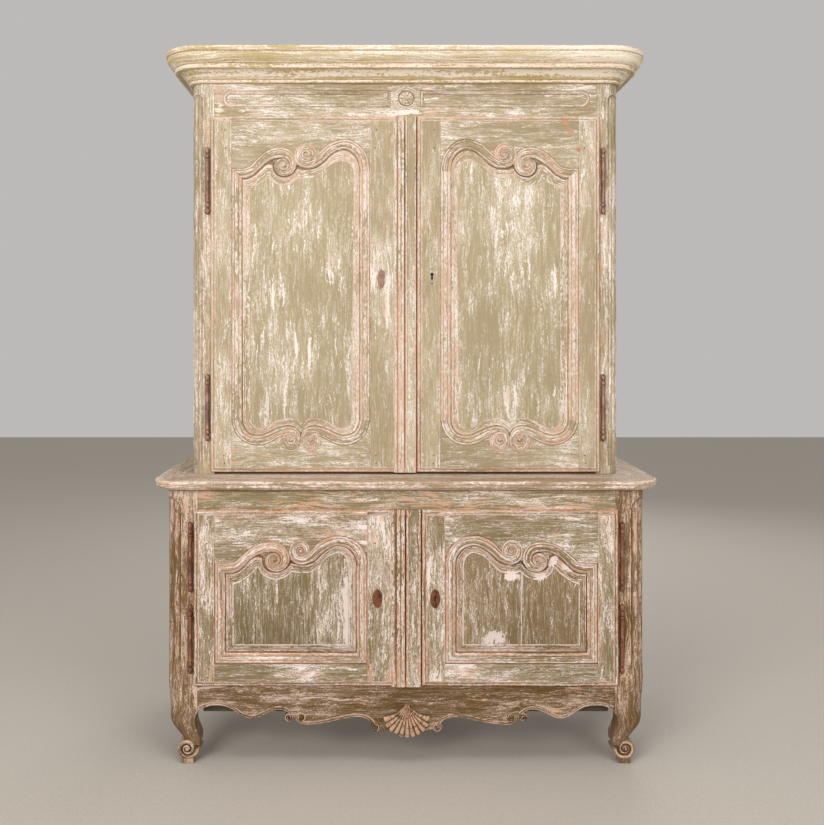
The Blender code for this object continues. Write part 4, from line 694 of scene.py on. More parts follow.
def curl(radii, start, first, quarters, perQuarter, eye=(0, 0)):
    # clockwise scroll: radii in mm at every quarter turn from the start angle
    line = []
    for k in range(quarters * perQuarter + 1):
        turn = first + k / perQuarter
        n = min(int(turn), len(radii) - 2)
        part = turn - n
        ease = part * part * (3 - 2 * part) * 0.5 + part * 0.5
        radius = (radii[n] + (radii[n + 1] - radii[n]) * ease) / 1000
        angle = math.radians(start - 90 * turn)
        line.append(Vector((eye[0] + radius * math.cos(angle), eye[1] + radius * math.sin(angle))))
    return line


def raised(points, base):
    return [Vector((p[0], p[1] + base)) for p in points]


def scrollArm(points, eye, radii, start, first, count, base):
    # an arm that rolls up round an eye, with heights from base
    roll = curl(radii, start, first, scrollSettings["quarters"], scrollSettings["perQuarter"], eye)
    arm = smooth(points + [tuple(roll[0])], count, roll[3])
    return raised(arm[:-1] + roll, base)


def rise(count, start, top, power):
    # scrolls stand up towards their eyes
    return [top * clamp((k - start) / (count - start)) ** power for k in range(count)]


class DoorMaker:
    # one door: u runs from the hinge side of the opening, heights are true
    def __init__(self, tier, side):
        self.tier, self.side = tier, side
        self.set = doorFrames[tier]
        self.sign = 1 if side == "left" else -1
        self.key = tier + "_" + side + "_door"
        self.hinge = self.set["lowX"] - self.set["edge"]
        self.meet = self.set["lowX"] - self.set["meet"][0 if side == "left" else 1]

    def spot(self, u, z, depth):
        return Vector((self.sign * (u - self.set["lowX"]), self.set["face"] + depth, z))

    def board(self, bm, outline, near, far, rubbed=0.003):
        face = self.set["face"]
        outline = [(self.sign * (u - self.set["lowX"]), z) for u, z in outline]
        board(bm, outline, face + near, face + far, rubbed)

    def mould(self, bm, outer, inner, lift=None):
        # a moulding between two lines of the same count; its height follows its width
        s, rows, wearAndHighlight = self.set, [], []
        lift = lift or [0] * len(outer)
        for share, depth, rubbed, dirty in mouldProfile:
            sunk = depth if depth < 1 else 1 + (depth - 1) * s["deepen"]
            wearAndHighlight.append(max(rubbed * s["wearing"], s["rubbed"] * (1 - dirty)))
            rows.append([])
            for a, b, up in zip(outer, inner, lift):
                scale = min(max((b - a).length / doorDepths["mould"], 0.3), 1.1)
                rows[-1].append(self.spot(*a.lerp(b, share), sunk * 0.001 * scale - up))
        weave(bm, rows, wearAndHighlight, [step[3] for step in mouldProfile], grainOffset(self.key + str(len(bm.verts))),
              s["face"] + doorDepths["mouldBack"])

    def eyeDome(self, bm, eye, base, size):
        radius, height = size
        dome(bm, self.spot(eye[0], base + eye[1], 0.0015), (radius, height, radius), 20, 10, 0.8, 0.2)

    def edgeMould(self, bm, start, end, inward, cutStart=0, cutEnd=0):
        # the thumb moulding on the door's edge, mitred where cut is 1
        start, end, inward = Vector(start), Vector(end), Vector(inward)
        along = (end - start).normalized()
        rows = []
        for offset, depth, _, _ in borderProfile:
            reach = inward * offset * 0.001
            a = start + reach + along * (offset * 0.001 * cutStart)
            b = end + reach - along * (offset * 0.001 * cutEnd)
            rows.append([self.spot(*p, depth * 0.001) for p in (a, a.lerp(b, 0.33), a.lerp(b, 0.67), b)])
        # painted light from above: the upper edge is painted cleaner and lighter, the lower one holds the dirt and a
        # painted shade
        dirtAndShade = [min(step[3] * (1 + 0.6 * inward.y) + 0.3 * max(inward.y, 0), 1) for step in borderProfile]
        weave(bm, rows, [step[2] for step in borderProfile], dirtAndShade, grainOffset(self.key + str(len(bm.verts))),
              self.set["face"] + doorDepths["lip"])

    def close(self, bm, part, paint, along):
        finishPiece(bm, self.key + "_" + part + "_carved", paint, self.key, [self.key + "_" + part],
                    along)


def makeStile(door, part):
    s, d, bm = door.set, doorDepths, newPiece()
    low = s["sill"] if door.tier == "lower" else s["sill"] + d["foot"]
    lowIn = low + d["mould"] if door.tier == "lower" else low
    if part == "hinge_stile":
        outer, inner, lip, frameSide = door.hinge, -d["seam"], d["mould"], 0.0
        high, highIn = s["shoulder"], s["shoulder"] - d["mould"]
        faceEdge, backEdge = outer + d["border"], outer + d["lap"]
        door.edgeMould(bm, (outer, s["bottom"]), (outer, s["top"]), (1, 0), 1, 1)
        door.edgeMould(bm, (outer, s["top"]), (inner, s["top"]), (0, -1), 1)
        door.edgeMould(bm, (outer, s["bottom"]), (inner, s["bottom"]), (0, 1), 1)
        sides = faceEdge, inner
    else:
        outer, inner, lip, frameSide = door.meet, s["width"] + d["seam"], s["width"] - d["mould"], s["width"]
        high = highIn = s["shoulder"] - s["butt"]
        bare = door.side == "left"  # its edge lies under the meeting strip
        faceEdge, backEdge = outer if bare else outer - d["border"], outer
        door.edgeMould(bm, (inner, s["top"]), (outer, s["top"]), (0, -1), 0, 0 if bare else 1)
        door.edgeMould(bm, (inner, s["bottom"]), (outer, s["bottom"]), (0, 1), 0, 0 if bare else 1)
        if not bare:
            door.edgeMould(bm, (outer, s["bottom"]), (outer, s["top"]), (-1, 0), 1, 1)
        sides = inner, faceEdge
    door.board(bm, oblong(sides[0], s["bottom"] + d["border"], sides[1], s["top"] - d["border"]), 0, d["lip"])
    lapLow, lapHigh = s["bottom"] + d["lap"], s["top"] - d["lap"]
    rear = [(backEdge, lapLow), (inner, lapLow), (inner, low), (lip, lowIn), (lip, highIn), (inner, high),
            (inner, lapHigh), (backEdge, lapHigh)]
    door.board(bm, rear, d["ground"], d["back"])
    outerLine = spread([Vector((frameSide, high)), Vector((frameSide, low))], 24)
    door.mould(bm, outerLine, spread([Vector((lip, highIn)), Vector((lip, lowIn))], 24))
    door.close(bm, part, s["paint"], 2)


def makeTopRail(door):
    s, d, k, head = door.set, doorDepths, scrollSettings, headLines[door.tier]
    bm, base, left, right = newPiece(), s["shoulder"], d["seam"], s["width"] - d["seam"]
    arm = [scrollArm(head[line], head["bigEye"], bigRadii[door.tier], 90, first, k["arm"], base)
           for line, first in (("armOuter", 0), ("armInner", 4))]
    arch = [scrollArm(head[line], head["smallEye"], smallRadii[door.tier], -90, first, k["arch"], base)
            for line, first in (("archOuter", 4), ("archInner", 0))]
    door.mould(bm, *arm, rise(len(arm[0]), k["arm"] * k["liftFrom"], k["armLift"], 0.6))
    door.mould(bm, *arch, rise(len(arch[0]), k["arch"] * k["liftFrom"], k["archLift"], 0.6))
    door.eyeDome(bm, head["bigEye"], base, k["bigEye"])
    door.eyeDome(bm, head["smallEye"], base, k["smallEye"])
    # front board down to the moulding's outer line, rear board down to its lip
    ridge = arm[0][:k["arm"] + k["perQuarter"]] + arch[0][:k["ridge"]][::-1]
    front = [(left, s["top"] - d["border"]), (right, s["top"] - d["border"]), (right, base - s["butt"])]
    front += [tuple(p) for p in reversed(ridge[1:-1])] + [(left, base)]
    door.board(bm, front, 0, d["lip"], 0)
    lip = [p for segment in head["lip"] for p in smooth(segment, 28)]
    rear = [(left, s["top"] - d["lap"]), (right, s["top"] - d["lap"]), (right, base - s["butt"])]
    rear += [(p.x, p.y + base) for p in reversed(lip)] + [(left, base)]
    door.board(bm, rear, d["ground"], d["back"])
    door.edgeMould(bm, (0, s["top"]), (s["width"], s["top"]), (0, -1))
    door.close(bm, "top_rail", s["rails"], 0)


def mirrored(points, width):
    return [Vector((width - p.x, p.y)) for p in points]


def footPath(points, width):
    # the left half, then its mirror image
    return points + mirrored(points[-2::-1], width)


def makeBottomRail(door):
    s, d, k, bm = door.set, doorDepths, scrollSettings, newPiece()
    base, width, mould, left, right = s["sill"], s["width"], d["mould"], d["seam"], s["width"] - d["seam"]
    if door.tier == "lower":
        outer = spread([Vector((0, base)), Vector((width, base))], 24)
        inner = spread([Vector((mould, base + mould)), Vector((width - mould, base + mould))], 24)
        door.mould(bm, outer, inner)
        frontTop = [(right, base), (left, base)]
        rearTop = [(right, base), (width - mould, base + mould), (mould, base + mould), (left, base)]
    else:
        eye, shoulder = footLines["eye"], [(right, base + d["foot"]), (left, base + d["foot"])]
        outer, inner = (scrollArm(footLines[line], eye, footRadii, 90, first, k["foot"], base)
                        for line, first in (("outer", 4), ("inner", 0)))
        lift = rise(len(outer), k["footLiftFrom"], k["footLift"], 0.5)
        door.mould(bm, outer, inner, lift)
        door.mould(bm, mirrored(outer, width), mirrored(inner, width), lift)
        door.eyeDome(bm, eye, base, k["footEye"])
        door.eyeDome(bm, (width - eye[0], eye[1]), base, k["footEye"])
        crest = footPath(outer[:k["foot"]] + [Vector((width / 2, base + 0.03))], width)
        lip = footPath(raised(smooth(footLines["lip"], 40), base), width)
        frontTop = shoulder[:1] + [tuple(p) for p in crest[-2:0:-1]] + shoulder[1:]
        rearTop = shoulder[:1] + [tuple(p) for p in reversed(lip)] + shoulder[1:]
    faceLow, lapLow = s["bottom"] + d["border"], s["bottom"] + d["lap"]
    door.board(bm, [(left, faceLow), (right, faceLow)] + frontTop, 0, d["lip"], 0)
    door.board(bm, [(left, lapLow), (right, lapLow)] + rearTop, d["ground"], d["back"])
    door.edgeMould(bm, (0, s["bottom"]), (width, s["bottom"]), (0, 1))
    door.close(bm, "bottom_rail", s["rails"], 0)


def panelLoop(door, key, inset):
    # once round the panel, down from the end of the shaped head and back up to its start
    s, head = door.set, headLines[door.tier][key]
    loop = []
    for segment in head:
        loop += raised(smooth(segment, 34), s["shoulder"])[:-1]
    topRight, topLeft = raised((head[-1][-1], head[0][0]), s["shoulder"])
    if door.tier == "lower":
        corners = Vector((topRight.x, s["sill"] + inset)), Vector((inset, s["sill"] + inset))
        loop += spread([topRight, corners[0]], 12)[:-1] + spread(corners, 16)[:-1]
        return loop + spread([corners[1], topLeft], 12)
    half = raised(smooth(footLines[key], 44), s["sill"])
    other = mirrored(half, s["width"])
    loop += spread([topRight, other[0]], 14)[:-1] + other[:-1] + half[::-1][:-1]
    return loop + spread([half[0], topLeft], 14)


def makePanel(door):
    s, own, bm = door.set, panelSettings, newPiece()
    loops = [panelLoop(door, key, inset) for key, inset in own["inset"].items()]
    rows, wearAndHighlight, dirtAndShade = [], [], []
    for share, depth, rubbed, dirty in fieldProfile:
        sunk = min(own["fieldDepth"] + (depth - own["fieldDepth"]) * s["deepen"], s["groove"])
        rows.append([door.spot(*a.lerp(b, share), sunk * 0.001) for a, b in zip(*loops)])
        wearAndHighlight.append(max(rubbed, s["rubbed"] * (1 - dirty)) if share < 0.99 else rubbed)
        dirtAndShade.append(dirty - (s["caked"] if 0.8 < share < 0.99 else 0))
    weave(bm, rows, wearAndHighlight, dirtAndShade, grainOffset(door.key), None, True)
    # the raised field in front and the plain back
    bm.faces.new([bm.verts.new(p) for p in rows[-1][:-1]])
    bm.faces.new([bm.verts.new((p.x, s["face"] + own["back"], p.z)) for p in rows[0][:-1]])
    merge(bm)
    bmesh.ops.bridge_loops(bm, edges=[edge for edge in bm.edges if edge.is_boundary])
    if door.side in s["joints"]:
        # a worn joint between two boards of the field
        dirtAndShadeLayer = stains(bm)[1]
        for aside, dirty, sunk in own["joint"]:
            x = s["joints"][door.side] + aside * 0.001
            whole = bm.verts[:] + bm.edges[:] + bm.faces[:]
            cut = bmesh.ops.bisect_plane(bm, geom=whole, plane_co=(x, 0, 0), plane_no=(1, 0, 0))["geom_cut"]
            for vert in pointsOf(cut):
                if vert.co.y < s["face"] + own["front"]:
                    vert[dirtAndShadeLayer] = dirty
                    vert.co.y += sunk * 0.001
    door.close(bm, "panel", s["panel"][door.side], 2)


for tier in doorFrames:
    for side in ("left", "right"):
        door = DoorMaker(tier, side)
        makeStile(door, "hinge_stile")
        makeStile(door, "meeting_stile")
        makeTopRail(door)
        makeBottomRail(door)
        makePanel(door)
print("doors carved")

# cornice and serving top: a profile swept round the front and both sides
# mm out from the case, height, rubbed, dirty; in the cornice's cove the dirty values below zero cake pale paint as
# painted light, and on the serving top's flat they are painted shade
corniceSettings = {
    "half": 0.701, "front": -0.147, "back": 0.311, "radius": 0.045, "boards": 4,
    "inset": 0.004, "roof": (-0.157, 0.309, 2.246, 2.258), "gap": 0.0012, "rail": (0.287, 0.3106, 2.1684, 2.2455),
    "profile": [(-30, 2.27, 0, 0), (0, 2.27, 0, 0.1), (60, 2.27, 0, 0.1), (86, 2.27, 0.5, 0), (88.6, 2.2688, 1, 0),
                (89, 2.266, 0.6, 0), (89, 2.2575, 0.3, 0), (88, 2.2555, 0.9, 0), (86, 2.2545, 0.2, 0.6),
                (85.2, 2.253, 0, 0.9), (85.4, 2.25, 0.2, 0), (84.6, 2.2445, 0.2, 0), (81.5, 2.237, 0.1, 0),
                (76.5, 2.23, 0.1, 0), (70, 2.2248, 0.3, 0), (63, 2.2218, 0.9, 0), (61.5, 2.2205, 0.3, 0.7),
                (60.5, 2.2192, 0.1, 0.9), (61, 2.2178, 0.8, 0), (61, 2.2075, 0.6, 0), (60, 2.2058, 1, 0),
                (51, 2.2046, 0.1, 0.4), (46, 2.2038, 0.1, -0.5), (37, 2.2005, 0.1, -0.62), (28, 2.195, 0.1, -0.62),
                (20, 2.1885, 0.1, -0.55), (14, 2.183, 0.1, 0.0), (11, 2.1802, 0, 0.8), (10.6, 2.1793, 0, 0.9),
                (13, 2.178, 0.8, 0), (14.3, 2.1738, 0.9, 0), (13, 2.1702, 0.6, 0), (9, 2.1682, 0.2, 0.4),
                (0, 2.168, 0, 0.8), (-30, 2.168, 0, 0), (-30, 2.27, 0, 0)],
}
servingSettings = {
    "half": 0.756, "front": -0.269, "back": 0.311, "radius": 0.045, "boards": 3, "lap": 0.0395, "gap": 0.0006,
    "plankLow": 0.8572, "plankHigh": 0.8899, "plankTop": 0.888, "shade": 0.42, "slack": 0.0005,
    "profile": [(-40, 0.89, 0.1, 0.45), (10, 0.89, 0.1, 0.45), (34, 0.89, 0.2, 0.35), (37, 0.89, 0.3, 0),
                (40.5, 0.8893, 0.6, 0), (42, 0.887, 0.4, -0.4), (42, 0.8822, 0.2, -0.4), (41.4, 0.8806, 0.7, 0),
                (39.6, 0.8798, 0.1, 0.9), (39.2, 0.8786, 0.2, 0.5), (39.9, 0.8755, 0.1, -0.45),
                (38.6, 0.8705, 0.2, -0.45), (35, 0.8665, 0.5, -0.2), (30.5, 0.864, 1, 0), (27.5, 0.8632, 1, 0),
                (26.5, 0.8618, 0.5, 0.5), (22, 0.86, 0, 1), (12, 0.8572, 0, 1), (0, 0.857, 0, 1), (-40, 0.857, 0, 0),
                (-40, 0.89, 0.1, 0)],
}


def caseSweep(bm, s, shift, perCorner=14, perSide=10, perFront=14):
    rows = []
    cx, cy = s["half"] - s["radius"], s["front"] + s["radius"]
    turns = [math.radians(90 * k / perCorner) for k in range(perCorner)]
    for out, z, _, _ in s["profile"]:
        out, reach = out * 0.001, s["radius"] + out * 0.001
        half = [Vector((-s["half"] - out, s["back"] + (cy - s["back"]) * k / perSide, z)) for k in range(perSide)]
        half += [Vector((-cx - reach * math.cos(a), cy - reach * math.sin(a), z)) for a in turns]
        half += [Vector((-cx + cx * k / perFront, s["front"] - out, z)) for k in range(perFront)]
        rows.append(half + [Vector((0, s["front"] - out, z))] + [Vector((-p.x, p.y, z)) for p in reversed(half)])
    weaveProfile(bm, rows, s["profile"], shift, None, True)
    merge(bm, True)


def makeCornice():
    s, bm = corniceSettings, newPiece()
    caseSweep(bm, s, grainOffset("cornice"))
    finishPiece(bm, "cornice_moulded", "cornice", "carcass", ["cornice"], 0)
    bm, half = newPiece(), s["half"] - s["inset"]
    near, far, low, high = s["roof"]
    for a, b in cuts(near, far, s["boards"]):
        plank(bm, (-half, a, low), (half, b - s["gap"], high))
    # a rail closes the cornice behind
    near, far, low, high = s["rail"]
    plank(bm, (-half, near, low), (half, far, high), 0.0025, s["boards"] + 1)
    finishPiece(bm, "cornice_roof_boards", "back", "carcass", [], 0)


def makeServingTop():
    s, bm = servingSettings, newPiece()
    caseSweep(bm, s, grainOffset("serving"))
    # wide boards carry the top between the moulded edges
    near, half = s["front"] + s["lap"], s["half"] - s["lap"]
    for a, b in cuts(near, s["back"], s["boards"]):
        plank(bm, (-half, a, s["plankLow"]), (half, b - s["gap"], s["plankHigh"]), 0.0007)
    # painted shade on the top faces of the boards
    dirtAndShadeLayer = stains(bm)[1]
    for vert in bm.verts:
        within = abs(vert.co.x) < half + s["slack"] and vert.co.y > near - s["slack"]
        if within and vert.co.z > s["plankTop"] and vert[dirtAndShadeLayer] == 0:
            vert[dirtAndShadeLayer] = s["shade"]
    finishPiece(bm, "lower_top_moulded", "serving", "carcass", ["lower_top"], 0)


# frieze: two long sunk panels and a rosette in a pointed frame
friezeSettings = {
    "front": -0.147, "skin": 0.01, "low": 2.0915, "high": 2.1465, "outer": (0.5985, 0.606), "inner": (0.048, 0.0495),
    "sunk": 0.006, "mould": 0.0125, "bow": 0.0277, "rosette": (0.0033, 2.1205), "rosetteRadius": 0.03, "petals": 9,
    "rings": [0.02, 0.08, 0.14, 0.19, 0.23, 0.27, 0.33, 0.42, 0.52, 0.62, 0.7, 0.76, 0.8, 0.84, 0.88, 0.91, 0.94,
              0.97, 1.0],
    # left half of the pointed frame round the rosette, from its middle, and half the width of its bead
    "pointed": [(-0.004, -0.0335), (-0.022, -0.0315), (-0.0345, -0.022), (-0.0395, 0.0), (-0.0355, 0.018),
                (-0.024, 0.029), (-0.01, 0.0345), (-0.003, 0.044)],
    "bead": 0.003,
}
# share across, depth in mm, rubbed, dirty
friezeProfile = [(0.0, 0.0, 0.4, 0.0), (0.08, 1.6, 0.0, 0.9), (0.16, 1.8, 0.0, 0.8), (0.22, 0.3, 0.6, -0.3),
                 (0.34, -0.7, 0.7, -0.3), (0.48, -0.4, 0.3, -0.2), (0.58, 1.0, 0.2, 0.5), (0.63, 1.2, 0.2, 0.2),
                 (0.72, 1.4, 0.6, 0.0), (0.82, 3.2, 0.3, 0.1), (0.9, 5.0, 0.0, 0.8), (1.0, 5.6, 0.0, 0.5)]
# share across, mm proud, rubbed, dirty
pointedProfile = [(0.0, -0.6, 0.0, 0.8), (0.12, 0.3, 0.2, 0.3), (0.32, 1.6, 0.3, -0.9), (0.5, 2.2, 0.3, -1.0),
                  (0.68, 1.6, 0.3, -0.9), (0.88, 0.3, 0.2, 0.3), (1.0, -0.6, 0.0, 0.8)]


def offsetLine(line, distance):
    moved = []
    for k, point in enumerate(line):
        along = (line[min(k + 1, len(line) - 1)] - line[max(k - 1, 0)]).normalized()
        moved.append(point + Vector((-along.y, along.x)) * distance)
    return moved


def longPanelLine(outer, inner, low, high, inset):
    # round at the outer end, square at the inner end; x is measured outwards
    r, middle = (high - low) / 2, (low + high) / 2
    inner, low, high = inner + inset, low + inset, high - inset
    path = spread([Vector((inner, low)), Vector((outer - r, low))], 30)[:-1]
    for a in (math.pi * k / 24 for k in range(24)):
        path.append(Vector((outer - r + (r - inset) * math.sin(a), middle - (r - inset) * math.cos(a))))
    path += spread([Vector((outer - r, high)), Vector((inner, high))], 30)[:-1]
    return path + spread([Vector((inner, high)), Vector((inner, low))], 8)


def rosettePoint(ring, lobe):
    # height above the face and dirt of the boss, the petals, the dark channel and the rim
    if ring < 0.25:
        return 0.0055 * math.sqrt(max(1 - (ring / 0.25) ** 2, 0)) + 0.0025, -0.2
    if ring < 0.78:
        return 0.0008 + 0.0058 * lobe * math.sin(math.pi * min((ring - 0.22) / 0.58, 1)) ** 0.5, (1 - lobe) ** 1.3
    if ring < 0.9:
        return 0.0004, 1.0
    return 0.0022 * math.sin(math.pi * (1.03 - ring) / 0.13) - 0.0002, -0.5


def makeRosette(bm, s, steps=96):
    # a ring, petals and a boss, all from one round sheet
    (cx, cz), front = s["rosette"], s["front"]
    rows, wearAndHighlight, dirtAndShade = [], [], []
    for ring in s["rings"]:
        for layer in (rows, wearAndHighlight, dirtAndShade):
            layer.append([])
        radius = ring * s["rosetteRadius"]
        for k in range(steps + 1):
            a = 2 * math.pi * k / steps
            lobe = abs(math.cos(a * s["petals"] / 2)) ** 0.55
            height, gap = rosettePoint(ring, lobe)
            rows[-1].append(Vector((cx + radius * math.cos(a), front - height, cz + radius * math.sin(a))))
            wearAndHighlight[-1].append(0.5 * lobe if ring < 0.78 else 0.2)
            dirtAndShade[-1].append(1.0 if 0.2 < ring < 0.26 else gap - (0.2 * lobe if 0.3 < ring < 0.78 else 0))
    weave(bm, rows, wearAndHighlight, dirtAndShade, grainOffset("rosette"), front + 0.004, True)
    half = smooth(s["pointed"], 40)
    for sign in (1, -1):
        rows = rowsBetween(offsetLine(half, s["bead"]), offsetLine(half, -s["bead"]), pointedProfile,
                           lambda x, z, proud: Vector((cx + sign * x, front - proud, cz + z)))
        weaveProfile(bm, rows, pointedProfile, grainOffset("pointed" + str(sign)), front + 0.004)


def makeFrieze():
    s, bm = friezeSettings, newPiece()
    (x0, _, z0), (x1, back, z1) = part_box("frieze_rail")
    front, skin, low, high = s["front"], s["front"] + s["skin"], s["low"], s["high"]
    board(bm, oblong(x0, z0, x1, low), front, skin, 0)
    board(bm, oblong(x0, high, x1, z1), front, skin, 0)
    board(bm, oblong(-s["inner"][0], low, s["inner"][1], high), front, skin, 0)
    board(bm, oblong(x0, z0, x1, z1), front + s["sunk"], back, 0)
    for k, sign in ((0, -1), (1, 1)):
        outline, inside = (longPanelLine(s["outer"][k], s["inner"][k], low, high, inset) for inset in (0, s["mould"]))
        bow = [(sign * p.x, p.y) for p in outline if p.x >= s["outer"][k] - s["bow"]]
        end = x1 if sign > 0 else x0
        board(bm, [(end, low)] + bow + [(end, high)], front, skin, 0)
        rows = rowsBetween(outline, inside, friezeProfile, lambda x, z, depth: Vector((sign * x, front + depth, z)))
        weaveProfile(bm, rows, friezeProfile, grainOffset("frieze" + str(k)), front + 0.008)
    makeRosette(bm, s)
    finishPiece(bm, "frieze_rail_carved", "upperCase", "carcass", ["frieze_rail"], 0)


# corner posts with a sunk reeded panel, cabriole legs and scroll feet
postSettings = {
    "upper": {"half": 0.701, "inner": 0.6265, "front": -0.147, "back": -0.092, "radius": 0.045, "low": 0.8903,
              "high": 2.1677,
              "panel": (0.0375, 0.096), "spring": 2.116, "crown": 0.02, "foot": 0.915, "fade": 0.002, "reeds": 3,
              "sunk": 0.0045, "paint": "upperCase"},
    "lower": {"half": 0.756, "inner": 0.658, "front": -0.269, "back": -0.207, "radius": 0.045, "low": 0.2515,
              "high": 0.8567,
              "panel": (0.0505, 0.1365), "spring": 0.79, "crown": 0.045, "foot": 0.261, "fade": 0.06, "reeds": 3,
              "sunk": 0.005, "paint": "lowerPost"},
}
legRows = [  # swing shares of the outer, inner, front and rear faces, then the share of the drop
    (0, 0, 0, 0, 0.0), (0.08, 0.0, -0.03, 0.0, 0.22), (0.14, 0.0, -0.06, 0.0, 0.44), (0.17, 0.15, -0.07, 0.04, 0.6),
    (0.3, 0.12, -0.06, 0.07, 0.71), (0.6, -0.02, -0.05, 0.08, 0.81), (0.92, -0.15, -0.09, 0.04, 0.9),
    (1.12, -0.15, -0.16, -0.03, 1.0)]
legSettings = {
    "drop": 0.194, "swing": 0.054, "steps": 6, "scroll": (0.687, 0.0465), "front": -0.282, "depth": 0.066,
    "band": 0.012, "drum": 0.027, "bud": (0.0072, 0.007, 0.0072), "pad": 0.038, "padTop": 0.0205,
    "shade": 0.34, "shadeRise": 0.04,
    # clockwise from the inner side, mm
    "radii": [39, 31.5, 30.5, 27.5, 20.5, 16.5, 14.5, 12.5, 9.5, 7.5, 6, 4.5, 3.5],
    # share across the band, depth in mm, rubbed, dirty
    "profile": [(0.0, 7.0, 0.1, 0.5), (0.05, 2.8, 0.3, 0.0), (0.14, 0.6, 0.3, -0.42), (0.32, -0.8, 0.2, -0.42),
                (0.48, 0.2, 0.3, -0.42), (0.56, 2.4, 0.2, 0.2), (0.6, 6.5, 0.0, 1.0), (1.0, 8.0, 0.0, 1.0)],
}


def postLine(half, inner, front, back, radius, bend=26):
    # section from the inner front edge, round the corner, to the side's rear edge
    line = [Vector((inner + (half - radius - inner) * k / 18, front)) for k in range(18)]
    for a in (math.pi / 2 * k / bend for k in range(bend + 1)):
        line.append(Vector((half - radius + radius * math.sin(a), front + radius - radius * math.cos(a))))
    return line + [Vector((half, front + radius + (back - front - radius) * k / 4)) for k in range(1, 5)]


def postRelief(s, across, reach, z, carved):
    # how far a point of the post stands out, its wear and its dirt; the sunk panel runs out towards its foot
    ceiling = s["spring"] + s["crown"] * math.sqrt(max(1 - across * across, 0))
    within = min((1 - abs(across)) * reach, ceiling - z, z - s["foot"]) if carved else -1
    runOut = clamp((z - s["foot"]) / s["fade"])
    inside = clamp(within / 0.0022)
    reed = abs(math.sin(math.pi * s["reeds"] * (across + 1) / 2)) ** 0.7
    tip = clamp((within - 0.004) / 0.01)
    rim = math.exp(-((within + 0.002) / 0.0016) ** 2) * runOut
    out = 0.0012 * rim + runOut * (s["sunk"] * 0.8 * reed * tip ** 0.5 * (inside >= 1) - s["sunk"] * inside)
    groove = inside * (1 - reed) ** 2 if tip > 0.3 else inside * 0.6
    return out, max(0.8 * rim, inside * reed * tip * 0.45 * runOut), 0.9 * groove * runOut - 0.5 * rim


def makePost(tier, side):
    s, bm = postSettings[tier], newPiece()
    sign = -1 if side == "left" else 1
    section = spread(postLine(s["half"], s["inner"], s["front"], s["back"], s["radius"]), 96)
    faced, rear = len(section), Vector((s["inner"], s["back"]))
    section += spread([section[-1], rear], 5)[1:] + spread([rear, section[0]], 5)[1:]
    runs = lengths(section)
    start, end = s["panel"]
    middle, reach = (start + end) / 2, (end - start) / 2
    # close rows where the panel begins and under its arch
    top = [s["spring"] + s["crown"] * k / 16 for k in range(-4, 22)]
    heights = [s["low"]] + [s["foot"] - 0.004 + 0.0015 * k for k in range(6)]
    heights += [a for a, _ in cuts(s["foot"] + 0.006, top[0], 30)[1:]] + top + [s["high"]]
    rows, wearAndHighlight, dirtAndShade = [], [], []
    for k, point in enumerate(section):
        ahead, behind = section[min(k + 1, faced - 1)], section[max(k - 1, 0)]
        along = (ahead - behind).normalized() if k < faced else Vector((1, 0))
        reliefs = [postRelief(s, (runs[k] - middle) / reach, reach, z, k < faced) for z in heights]
        rows.append([Vector((sign * (point.x + along.y * out), point.y - along.x * out, z))
                     for z, (out, _, _) in zip(heights, reliefs)])
        wearAndHighlight.append([rubbed for _, rubbed, _ in reliefs])
        dirtAndShade.append([dirty for _, _, dirty in reliefs])
    weave(bm, rows, wearAndHighlight, dirtAndShade, grainOffset(tier + side + "post"))
    merge(bm, True)
    finishPiece(bm, tier + "_" + side + "_post_carved", s["paint"], "carcass", [tier + "_" + side + "_post"],
                2)


def legRing(s, swing, z, sign):
    # the post's section with its faces swung in or out
    half, inner = s["half"] - swing[0], s["inner"] + swing[1]
    front, back = s["front"] + swing[2], s["back"] + swing[3]
    line = spread(postLine(half, inner, front, back, min(s["radius"], (half - inner) * 0.46)), 60)
    line += [Vector((half - 0.004, back)), Vector((inner + 0.004, back)), Vector((inner, back - 0.004)),
             Vector((inner, front + 0.004)), line[0]]
    return [Vector((sign * p.x, p.y, z)) for p in line]


